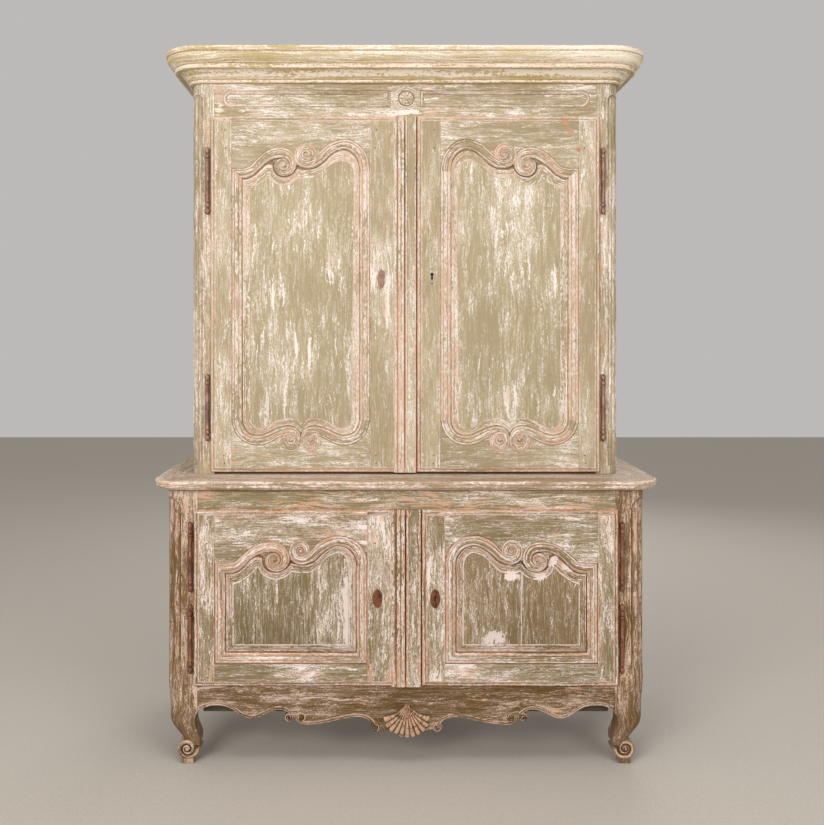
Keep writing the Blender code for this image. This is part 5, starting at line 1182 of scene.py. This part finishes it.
def makeLeg(side):
    s, leg, bm = postSettings["lower"], legSettings, newPiece()
    sign, steps = -1 if side == "left" else 1, legSettings["steps"]
    knots, drops = [Vector(row[:4]) for row in legRows], [row[4] for row in legRows]
    guide, last = knots[:1] + knots + knots[-1:], len(knots) - 2
    rings = []
    for n in range(last + 1):
        for k in range(steps if n < last else steps + 1):
            swing = curvePoint(*guide[n:n + 4], k / steps) * leg["swing"]
            drop = drops[n] + (drops[n + 1] - drops[n]) * k / steps
            rings.append(legRing(s, swing, s["low"] - drop * leg["drop"], sign))
    columns = [column[::-1] for column in zip(*rings)]
    shade = [min(0.43, 0.9 * (1 - k / len(rings))) for k in range(len(rings))]  # painted shade, darker towards the foot
    across, down = grainOffset("lower" + side + "post")
    down -= lengths(columns[len(columns) // 2])[-1]  # the grain runs on from the post
    weave(bm, columns, [0.1] * len(columns), [shade] * len(columns), (across, down), None, True)
    merge(bm, True)
    # the rolled foot: a band that winds in from the ankle, over a drum
    x, z, front = sign * leg["scroll"][0], leg["scroll"][1], leg["front"]
    outer = curl(leg["radii"], 0, 0, 8, 12)
    inner = curl([max(r - 4.0, r * 0.7) for r in leg["radii"]], 0, 4, 8, 12)
    rows = []
    for share, depth, _, _ in leg["profile"]:
        rows.append([])
        for k, (a, b) in enumerate(zip(outer, inner)):
            place = a.lerp(b, share)
            sunk = depth * 0.001 * min((b - a).length / leg["band"], 1.0) - 0.002 * k / len(outer)
            rows[-1].append(Vector((x - sign * place.x, front + sunk, z + place.y)))
    weaveProfile(bm, rows, leg["profile"], grainOffset(side + "foot"), front + leg["depth"])
    drum(bm, x, z, leg["drum"], front + 0.0065, front + leg["depth"] - 0.002, 40, 0.9)
    dome(bm, (x, front + 0.003, z), leg["bud"], 20, 10, 0.5, 0.5)
    half, middle = leg["pad"] / 2, front + leg["depth"] / 2 - 0.01
    plank(bm, (x - half, middle - half, 0.0), (x + half, middle + half, leg["padTop"]), 0.003)
    # painted shade on the foot, below shadeRise above the scroll's middle
    dirtAndShadeLayer = stains(bm)[1]
    for vert in bm.verts:
        if 0 <= vert[dirtAndShadeLayer] < leg["shade"] and vert.co.z < z + leg["shadeRise"]:
            vert[dirtAndShadeLayer] = leg["shade"]
    finishPiece(bm, "lower_" + side + "_leg_carved", "lowerPost", "carcass", [], 2)


# scalloped apron: double rim, small scrolls and the shell
apronSettings = {
    "front": -0.269, "thick": 0.032, "top": 0.2515, "half": 0.658, "rim": 0.0135,
    # left half of the lower edge, from the leg to the shell
    "edgeOne": [(-0.658, 0.152), (-0.652, 0.164), (-0.624, 0.1752), (-0.596, 0.178), (-0.567, 0.1742),
                (-0.545, 0.164), (-0.523, 0.15), (-0.4956, 0.1375), (-0.47, 0.1397), (-0.441, 0.153),
                (-0.419, 0.1617), (-0.396, 0.165), (-0.378, 0.16), (-0.3635, 0.147)],
    "edgeTwo": [(-0.35, 0.136), (-0.342, 0.126), (-0.328, 0.119), (-0.309, 0.117), (-0.2776, 0.12), (-0.24, 0.1265),
                (-0.1926, 0.1375), (-0.152, 0.1414), (-0.126, 0.136), (-0.1095, 0.123), (-0.1, 0.106)],
    # x, z, radius, start angle, direction of winding
    "scrolls": [(-0.369, 0.1415, 0.015, 30, -1), (-0.33, 0.142, 0.016, 150, -1), (-0.098, 0.1105, 0.0155, 120, 1)],
    "shellMiddle": 0.003, "shellTop": 0.188, "shellDrop": 0.104, "shellSide": 0.086, "spread": 58, "ribs": 11,
    "proud": 0.014,
    "shellRows": (0.04, 0.1, 0.18, 0.28, 0.38, 0.48, 0.58, 0.68, 0.77, 0.85, 0.91, 0.96, 1.0),
}
# share across the rim, depth in mm, rubbed, dirty
rimProfile = [(0.0, 6.0, 0.9, 0.0), (0.05, 1.2, 1.0, 0.0), (0.16, -1.2, 0.9, 0.0), (0.3, -1.7, 0.4, 0.0),
              (0.42, -0.8, 0.2, 0.2), (0.48, 0.9, 0.0, 1.0), (0.54, 0.9, 0.0, 0.9), (0.6, -0.9, 0.7, 0.0),
              (0.74, -1.6, 0.9, 0.0), (0.88, -0.9, 0.4, 0.0), (0.96, 0.6, 0.0, 0.6), (1.0, 1.4, 0.0, 0.5)]
snailSettings = {
    "shares": (1, 0.98, 0.94, 0.88, 0.56, 0.52, 0.48, 0.42, 0.26, 0.22, 0.18, 0.14, 0.1), "back": 0.02,
    "bed": (0.9, 0.003),
    "profile": [(0.0, 4.0, 0.2, 0.5), (0.12, 0.0, 0.4, 0.1), (0.4, -2.6, 0.7, 0.0), (0.7, -2.0, 0.4, 0.1),
                (0.9, 0.6, 0.0, 0.9), (1.0, 2.5, 0.0, 1.0)],
}


def snail(bm, x, z, radius, start, way, front):
    # a small scroll: a winding bead on a round bed
    s, rows = snailSettings, []
    radii = [radius * 1000 * share for share in s["shares"]]
    outer, inner = curl(radii, 0, 0, 7, 10), curl(radii, 0, 4, 7, 10)
    c, d = math.cos(math.radians(start)), math.sin(math.radians(start))
    for share, depth, _, _ in s["profile"]:
        rows.append([])
        for k, (a, b) in enumerate(zip(outer, inner)):
            p = a.lerp(b, share)
            u = p.x if way < 0 else -p.x
            sunk = depth * 0.001 - 0.0025 * k / len(outer)
            rows[-1].append(Vector((x + u * c - p.y * d, front + sunk, z + u * d + p.y * c)))
    weaveProfile(bm, rows, s["profile"], grainOffset("snail" + str(x)), front + s["back"])
    share, near = s["bed"]
    drum(bm, x, z, radius * share, front + near, front + s["back"], 28, 0.8)


def makeApron():
    s, bm = apronSettings, newPiece()
    first, second = smooth(s["edgeOne"], 70), smooth(s["edgeTwo"], 60)
    half = first + second + [Vector((-0.06, 0.1))]
    lower = [tuple(p) for p in half] + [(-p.x, p.y) for p in reversed(half)]
    board(bm, lower + [(s["half"], s["top"]), (-s["half"], s["top"])], s["front"], s["front"] + s["thick"], 0)
    for line in (first, second):
        inner = offsetLine(line, s["rim"])
        for sign in (1, -1):
            rows = rowsBetween(line, inner, rimProfile,
                               lambda x, z, depth: Vector((sign * x, s["front"] + depth, z)))
            weaveProfile(bm, rows, rimProfile, grainOffset("rim" + str(sign) + str(line[0].x)), s["front"] + 0.008)
    for x, z, radius, start, way in s["scrolls"]:
        snail(bm, x, z, radius, start, way, s["front"] - 0.001)
        snail(bm, -x, z, radius, 180 - start, -way, s["front"] - 0.001)
    finishPiece(bm, "apron_carved", "apron", "carcass", ["apron"], 0)


def makeShell():
    s, bm = apronSettings, newPiece()
    steps = s["ribs"] * 12
    rows, wearAndHighlight, dirtAndShade = [], [], []
    for share in s["shellRows"]:
        for layer in (rows, wearAndHighlight, dirtAndShade):
            layer.append([])
        for k in range(steps + 1):
            turn = k / steps * 2 - 1
            angle = math.radians(s["spread"]) * turn * (0.66 + 0.34 * share)  # the outer ribs bend outwards
            rib = abs(math.sin(math.pi * s["ribs"] * (turn + 1) / 2)) ** 0.6
            reach = s["shellSide"] + (s["shellDrop"] - s["shellSide"]) * math.cos(turn * math.pi / 2) ** 0.7
            reach *= (1 + 0.022 * (rib - 0.6) * share) * share
            bulge = math.sin(math.pi * min(share * 0.8 + 0.1, 1)) ** 0.7
            curled = max(abs(turn) - 0.8, 0) / 0.2 * share ** 3  # tips turn up and forwards
            height = s["proud"] * (0.35 + 0.65 * bulge) * (1 - 0.35 * turn * turn) + 0.004 * curled
            height += (rib - 0.6) * 0.0075 * min(share * 1.6, 1)
            z = s["shellTop"] - reach * math.cos(angle) + 0.007 * curled
            rows[-1].append(Vector((s["shellMiddle"] + reach * math.sin(angle), s["front"] - height, z)))
            wearAndHighlight[-1].append(0.3 + 0.55 * rib if rib > 0.5 else 0.0)
            dirtAndShade[-1].append((1 - rib) ** 1.3 * (0.5 + 0.6 * share) if share > 0.12 else 0.1)
    weave(bm, rows, wearAndHighlight, dirtAndShade, grainOffset("shell"), s["front"] + 0.012)
    finishPiece(bm, "apron_shell", "shell", "carcass", [], 2, 60)


# meeting strips
stripSettings = {
    "upper": {"half": 0.036, "low": 0.896, "high": 2.0605, "front": -0.1625, "thick": 0.0149, "paint": "upperDoor",
              "stop": 0.022, "flat": 1.4},
    "lower": {"half": 0.046, "low": 0.2415, "high": 0.7965, "front": -0.2845, "thick": 0.0149, "paint": "lowerDoor",
              "stop": 0.02, "flat": 1.4},
}
# share across from the left edge, depth in mm, rubbed, dirty, 1 where it runs out before the ends
stripProfile = [(0.0, 12.0, 0.2, 0.6, 0), (0.0, 4.5, 0.6, 0.2, 0), (0.02, 3.2, 1.0, 0.0, 0), (0.07, 2.6, 0.5, 0.0, 0),
                (0.12, 2.6, 0.2, 0.0, 0), (0.145, 4.4, 0.0, 1.0, 1), (0.17, 4.4, 0.0, 0.9, 1),
                (0.19, 2.0, 0.8, 0.0, 1), (0.24, 0.8, 0.9, 0.0, 1), (0.29, 1.9, 0.4, 0.0, 1),
                (0.315, 3.4, 0.0, 0.7, 1), (0.33, 2.0, 0.4, 0.2, 1), (0.37, 0.6, 0.7, 0.0, 1),
                (0.42, 0.6, 0.9, 0.0, 1), (0.445, 1.4, 0.9, 0.0, 1), (0.465, 7.5, 0.0, 1.0, 1),
                (0.495, 7.5, 0.0, 1.0, 1), (0.515, 1.2, 0.9, 0.0, 1), (0.54, 0.4, 1.0, 0.0, 1),
                (0.58, 0.8, 0.3, 0.0, 1), (0.6, 2.2, 0.0, 0.6, 1), (0.63, 2.4, 0.0, 0.3, 1), (0.72, 1.6, 0.1, 0.0, 1),
                (0.84, 1.2, 0.2, 0.0, 1), (0.93, 1.6, 0.4, 0.0, 0), (0.98, 3.0, 1.0, 0.0, 0), (1.0, 4.5, 0.6, 0.2, 0),
                (1.0, 12.0, 0.2, 0.6, 0)]


def makeStrip(tier):
    s, bm = stripSettings[tier], newPiece()
    low, high, plain, full = s["low"], s["high"], s["stop"] * 0.7, s["stop"] * 1.5
    # height, and how much of the carving is there
    runs = [(low, 0.0), (low + plain, 0.0)] + [(a, 1.0) for a, _ in cuts(low + full, high - full, 24)]
    runs += [(high - full, 1.0), (high - plain, 0.0), (high, 0.0)]
    rows = []
    for share, depth, _, _, stopped in stripProfile:
        x, flat = s["half"] * (2 * share - 1), s["flat"] if stopped else depth
        rows.append([Vector((x, s["front"] + (flat + (depth - flat) * part) * 0.001, z)) for z, part in runs])
    weaveProfile(bm, rows, stripProfile, grainOffset(tier + "strip"), s["front"] + s["thick"])
    finishPiece(bm, tier + "_left_door_strip_fluted", s["paint"], tier + "_left_door", [tier + "_left_door_strip"],
                2)


# iron: hinges, plates, keyholes
hingeSettings = {
    "upper": (0.647, -0.1555), "lower": (0.6785, -0.2775), "paintedHighlight": {"upper": 0.42, "lower": 0.3},
    "barrel": 0.0068, "leaf": 0.0011, "leafRun": (0.012, 0.056), "play": 0.00015, "reach": 2.5, "rings": 6,
    # radius and distance in mm: the first rings from the parting, the finial from the end
    "turning": [(0, 0.1), (5.8, 0.1), (7.2, 0.6), (7.5, 1.6), (7.2, 2.6), (6.4, 3.4), (6.4, -44), (6.6, -43.6),
                (7.9, -42.8), (8.1, -41.4), (7.4, -40.2), (5.0, -39), (4.9, -38), (6.3, -36.4), (7.3, -33),
                (7.3, -29), (6.3, -25.5), (4.7, -23.4), (4.3, -22.2), (5.6, -20.8), (7.0, -17.6), (7.6, -13),
                (7.2, -8), (5.8, -4), (3.4, -1.2), (1.4, -0.2), (0, 0)],
}


def makeHinge(tier, side, place):
    s, (x, y) = hingeSettings, hingeSettings[tier]
    x = -x if side == "left" else x
    for part, body in (("post", "carcass"), ("door", tier + "_" + side + "_door")):
        node = "_".join((tier, side, place, "hinge", part, "half"))
        low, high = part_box(node)
        # the door's half sits on the post's half, whose pin is hidden inside it
        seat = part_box("_".join((tier, side, place, "hinge_door_half")))[0][2]
        up, parting, end = (1, seat, high[2]) if part == "door" else (-1, seat - s["play"], low[2])
        length = abs(end - parting) * 1000 + s["reach"]
        bm, turned = newPiece(), []
        for k, (radius, run) in enumerate(s["turning"]):
            far = run if k < s["rings"] else length + run
            turned.append(bm.verts.new((x + radius * 0.001, y, parting + up * far * 0.001)))
        ridge = [bm.edges.new(pair) for pair in zip(turned, turned[1:])]
        bmesh.ops.spin(bm, geom=turned + ridge, cent=(x, y, 0), axis=(0, 0, 1), angle=2 * math.pi, steps=32,
                       use_merge=True)
        merge(bm)
        wearAndHighlightLayer, dirtAndShadeLayer = stains(bm)
        # painted highlight down the front of the barrel, painted shade on its sides and back
        for vert in bm.verts:
            front = clamp((y - vert.co.y) / s["barrel"])
            vert[wearAndHighlightLayer] = s["paintedHighlight"][tier] * front ** 3
            vert[dirtAndShadeLayer] = max(1 - 1.15 * front, 0)
        a, b = sorted(parting + up * run for run in s["leafRun"])
        plank(bm, (x - s["leaf"], y, a), (x + s["leaf"], high[1] - 0.0004, b), 0.0003)
        finish = "paleHighlitIron" if tier == "upper" else "iron"
        finishPiece(bm, node + "_turned", finish, body, [node], 2, 50)


# name: body, node or None, x, z, half width and half height where there is no node, face, keyhole
plateSettings = {
    "lower_left_door_plate": ("lower_left_door", "lower_left_door_escutcheon", None, -0.2815, False),
    "lower_right_door_plate": ("lower_right_door", "lower_right_door_escutcheon", None, -0.2815, True),
    "upper_left_door_worn_plate": ("upper_left_door", None, (-0.0783, 1.528, 0.0135, 0.03), -0.1595, False),
}
# body, node or x and z, face, how proud of it, size, heights of the nails that are left
keyholeSettings = [
    ("lower_right_door", "lower_right_door_escutcheon", None, -0.2815, 0.0002, 0.985, ()),
    ("upper_right_door", None, (0.0873, 1.5365), -0.1595, 0.0004, 1.35, (0.024, -0.0235)),
]
# radius and height of the bow, where the slot begins, its half width and drop
keyholeShape = {"bow": 0.0042, "rise": 0.0045, "from": 0.45, "slot": 0.0023, "drop": 0.0115}


def outlineOf(node):
    # middle and half sizes of a solid, seen from the front
    low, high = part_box(node)
    return (low[0] + high[0]) / 2, (low[2] + high[2]) / 2, (high[0] - low[0]) / 2, (high[2] - low[2]) / 2


def ovalRow(x, z, a, b, y, wobble=0.0, seed=0, count=48):
    dice = random.Random(seed)
    swing = [dice.uniform(0, 6.28) for _ in range(3)]
    row = []
    for k in range(count + 1):
        t = 2 * math.pi * (k % count) / count
        ripple = math.sin(2 * t + swing[0]) + 0.6 * math.sin(5 * t + swing[1]) + 0.4 * math.sin(9 * t + swing[2])
        ripple = 1 + wobble * ripple
        row.append(Vector((x + a * ripple * math.cos(t), y, z + b * ripple * math.sin(t))))
    return row


def keyholeRow(x, z, y, size=1.0, count=48):
    # a round bow with a flared slot below
    s, row = keyholeShape, []
    for k in range(count + 1):
        t = 2 * math.pi * (k % count) / count
        u, v = s["bow"] * math.cos(t), s["bow"] * math.sin(t) + s["rise"]
        if math.sin(t) < -s["from"]:
            u = math.copysign(s["slot"], math.cos(t)) * min(abs(math.cos(t)) / 0.5, 1)
            v = s["rise"] - s["bow"] * s["from"] - (abs(math.sin(t)) - s["from"]) / (1 - s["from"]) * s["drop"]
        row.append(Vector((x + u * size, y, z + v * size)))
    return row


def plainWeave(bm, rows):
    weave(bm, rows, [0] * len(rows), [0] * len(rows), (0, 0), None, True)
    merge(bm)


def makePlates():
    for name, (body, node, outline, face, keyed) in plateSettings.items():
        x, z, a, b = outlineOf(node) if node else outline
        bm, ragged = newPiece(), 0.015 if node else 0.12
        rows = [ovalRow(x, z, a - less, b - less, face + deep, ragged, name)
                for less, deep in ((0, 0.0006), (0, -0.0004), (0.0008, -0.0011))]
        rows.append(ovalRow(x, z, a * 0.8, b * 0.86, face - 0.0014))
        if keyed:
            rows += [keyholeRow(x, z, face - 0.0014), keyholeRow(x, z, face + 0.0006)]
        else:
            rows += [ovalRow(x, z, a * wide, b * tall, face + deep)
                     for wide, tall, deep in ((0.45, 0.5, -0.0012), (0.02, 0.02, -0.001), (0.02, 0.02, 0.0006))]
        plainWeave(bm, rows + rows[:1])
        for way in (-1, 1):  # two nail heads
            dome(bm, (x, face - 0.0012, z + way * b * 0.8), (0.0021, 0.0011, 0.0021), 14, 8)
        finishPiece(bm, name, "iron" if node else "wornIron", body, [node] if node else [], 2, 45)


def makeKeyholes():
    for body, node, spot, face, proud, size, nails in keyholeSettings:
        x, z = outlineOf(node)[:2] if node else spot
        bm = newPiece()
        # a near-black keyhole-shaped sheet and funnel: painted shade in the hole
        plainWeave(bm, [keyholeRow(x, z, face + deep, wide) for deep, wide in (
            (-proud, 0.01), (-proud, size), (0.004, size * 0.6), (0.0045, 0.01))])
        for up in nails:
            dome(bm, (x, face, z + up), (0.002, 0.0007, 0.0024), 12, 8)
        finishPiece(bm, body + "_keyhole", "dark", body, [], 2, 45)


# beside the opening, below the top, above the bottom, size of a head
pegSettings = {"aside": 0.021, "top": (0.045, 0.105), "bottom": (0.03, 0.056), "head": (0.003, 0.0004, 0.003),
               "astray": 0.004}


def makePegs():
    # two oak pegs hold each joint of a door's frame
    p = pegSettings
    for tier, s in doorFrames.items():
        heights = [s["top"] - drop for drop in p["top"]] + [s["bottom"] + up for up in p["bottom"]]
        for side in ("left", "right"):
            sign, bm = -1 if side == "left" else 1, newPiece()
            dice = random.Random(tier + side + "pegs")
            for u in (-p["aside"], s["width"] + p["aside"]):
                for z in heights:
                    x = sign * (s["lowX"] - u + dice.uniform(-p["astray"], p["astray"]))
                    dome(bm, (x, s["face"] + 0.0002, z), p["head"], 14, 8)
            finishPiece(bm, tier + "_" + side + "_door_pegs", "peg", tier + "_" + side + "_door", [], 2,
                        60)


makeCornice()
makeServingTop()
makeFrieze()
for tier in ("upper", "lower"):
    for side in ("left", "right"):
        makePost(tier, side)
        if tier == "lower":
            makeLeg(side)
        for place in ("bottom", "top"):
            makeHinge(tier, side, place)
    makeStrip(tier)
makeApron()
makeShell()
makePlates()
makeKeyholes()
makePegs()
print("case mouldings, carving and iron made")

# the case's sides, backs and boards inside
sideSettings = {
    "lower": {"half": 0.756, "front": -0.2067, "back": 0.3107, "low": 0.19, "high": 0.8567, "paint": "lowerCase"},
    "upper": {"half": 0.701, "front": -0.0917, "back": 0.3107, "low": 0.8903, "high": 2.1677, "paint": "upperCase"},
    # the lower lining ends at the rear post
    "frame": 0.075, "outer": 0.012, "thick": 0.024, "rearPost": (0.704, 0.251), "lining": 4, "liningEnd": 0.2504,
    "seam": 0.0002,
}
# mm in from the frame's edge, depth, rubbed, dirty
sideProfile = [(-0.2, 11.0, 0.0, 0.0), (-0.2, 0.0, 0.4, 0.0), (1.0, 0.4, 0.9, -0.3), (3.0, 1.2, 0.5, 0.0),
               (5.0, 2.8, 0.3, 0.0), (6.5, 4.8, 0.3, 0.1), (7.4, 5.1, 0.6, 0.0), (8.0, 8.0, 0.0, 1.0),
               (9.2, 8.2, 0.0, 0.9), (14, 7.4, 0.1, 0.3), (24, 5.8, 0.1, 0.0), (33, 4.5, 0.3, 0.0),
               (34.5, 4.2, 0.9, -0.5), (35.6, 3.1, 0.8, -0.5), (36.8, 3.0, 0.1, 0.0)]


def turnOut(bm, side):
    # made facing the front, then turned to face outwards
    quarter = 90 if side == "right" else -90
    bmesh.ops.rotate(bm, cent=(0, 0, 0), matrix=Matrix.Rotation(math.radians(quarter), 3, "Z"), verts=bm.verts[:])


def makeSide(tier, side):
    both, s = sideSettings, sideSettings[tier]
    name, face, skin = tier + "_" + side + "_side", -s["half"], both["outer"] - s["half"]

    def span(front, back):  # from the front to the back of the case, as seen on this side
        return (front, back) if side == "right" else (-back, -front)

    near, far = span(s["front"], s["back"])
    low, high, seam = s["low"], s["high"], both["seam"]
    left, right, foot, head = near + both["frame"], far - both["frame"], low + both["frame"], high - both["frame"]
    bm = newPiece()
    for a, b in ((near, left - seam), (right + seam, far)):
        board(bm, oblong(a, low, b, high), face, skin, 0.0025)
    rows = []
    for inset, sunk, _, _ in sideProfile:
        k = inset * 0.001
        corners = [Vector(corner) for corner in oblong(left + k, foot + k, right - k, head - k)]
        row = [p for a, b in zip(corners, corners[1:] + corners[:1]) for p in spread([a, b], 12)[:-1]] + corners[:1]
        rows.append([Vector((p.x, face + sunk * 0.001, p.y)) for p in row])
    weaveProfile(bm, rows, sideProfile, grainOffset(name), None, True)
    bm.faces.new([bm.verts.new(p) for p in rows[-1][:-1]])
    merge(bm)
    if tier == "lower":
        inner, rear = both["rearPost"]
        a, b = span(rear, s["back"])
        plank(bm, (a, face + 0.0015, 0.0), (b, -inner, high), 0.003)
    turnOut(bm, side)
    finishPiece(bm, name + "_framed", s["paint"], "carcass", [name], 2)
    bm = newPiece()
    for a, b in ((low, foot), (head, high)):
        board(bm, oblong(left, a, right, b), face, skin, 0.0025)
    turnOut(bm, side)
    finishPiece(bm, name + "_rails", s["paint"], "carcass", [], 1)
    bm = newPiece()
    start, last = span(s["front"], both["liningEnd"] if tier == "lower" else s["back"])
    for k, (a, b) in enumerate(cuts(start, last, both["lining"])):
        plank(bm, (a, skin + 0.0001, low), (b, face + both["thick"], high), 0.0012, k + 1)
    turnOut(bm, side)
    finishPiece(bm, name + "_lining", "bare", "carcass", [], 2)


# nails are shares of the height, nailIn how far they stand from a board's edge
backSettings = {"boards": 7, "gap": 0.0006, "uneven": 0.0025, "nails": (0.06, 0.5, 0.94), "nailIn": 0.028,
                "nailHead": (0.004, 0.0016, 0.004), "astray": 0.004}


def makeBack(tier):
    low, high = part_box(tier + "_back")
    s, dice = backSettings, random.Random(tier + "back")
    widths = [dice.uniform(0.8, 1.2) for _ in range(s["boards"])]
    edges = [low[0] + (high[0] - low[0]) * sum(widths[:k]) / sum(widths) for k in range(s["boards"] + 1)]
    bm, nails = newPiece(), newPiece()
    for k, (a, b) in enumerate(zip(edges, edges[1:])):
        rear = high[1] - dice.uniform(0, s["uneven"])
        plank(bm, (a + s["gap"], low[1], low[2]), (b - s["gap"], rear, high[2]), 0.003, k + 1)
        for share in s["nails"]:
            for x in (a + s["nailIn"], b - s["nailIn"]):
                z = low[2] + (high[2] - low[2]) * share + dice.uniform(-s["astray"], s["astray"])
                dome(nails, (x, high[1] - 0.0004, z), s["nailHead"], 10, 6)
    finishPiece(bm, tier + "_back_boards", "back", "carcass", [tier + "_back"], 2)
    finishPiece(nails, tier + "_back_nails", "iron", "carcass", [], 2, 50)


shelfSettings = {"boards": 3, "bearer": ((-0.645, -0.2366, 0.1464), (0.645, -0.214, 0.2333))}


def makeShelf(node):
    low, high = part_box(node)
    bm = newPiece()
    for k, (a, b) in enumerate(cuts(low[1], high[1], shelfSettings["boards"])):
        plank(bm, (low[0], a, low[2]), (high[0], b, high[2]), 0.0016, k + 1)
    finishPiece(bm, node + "_boards", "bare", "carcass", [node], 0)


def makeBearer():
    # the strip behind the apron that the bottom board rests on, in near-black boards as painted shade
    bm = newPiece()
    plank(bm, *shelfSettings["bearer"], 0.003)
    finishPiece(bm, "lower_bottom_bearer", "bearer", "carcass", [], 0)


for tier in ("upper", "lower"):
    for side in ("left", "right"):
        makeSide(tier, side)
    makeBack(tier)
makeShelf("lower_shelf")
makeShelf("upper_shelf")
makeBearer()
print("sides, backs and shelves made")

# the solids that keep their shape: node, finish, body, slot, grain axis
carriedOver = [
    ("lower_bottom", "bare", "carcass", "bare_wood", 0), ("lower_top_rail", "rail", "carcass", "case_paint", 0),
    ("upper_right_door_lock", "iron", "upper_right_door", "rusty_iron", 2),
    ("lower_right_door_lock", "iron", "lower_right_door", "rusty_iron", 2),
]
for entry in carriedOver:
    carry(*entry)
print("solids dressed")
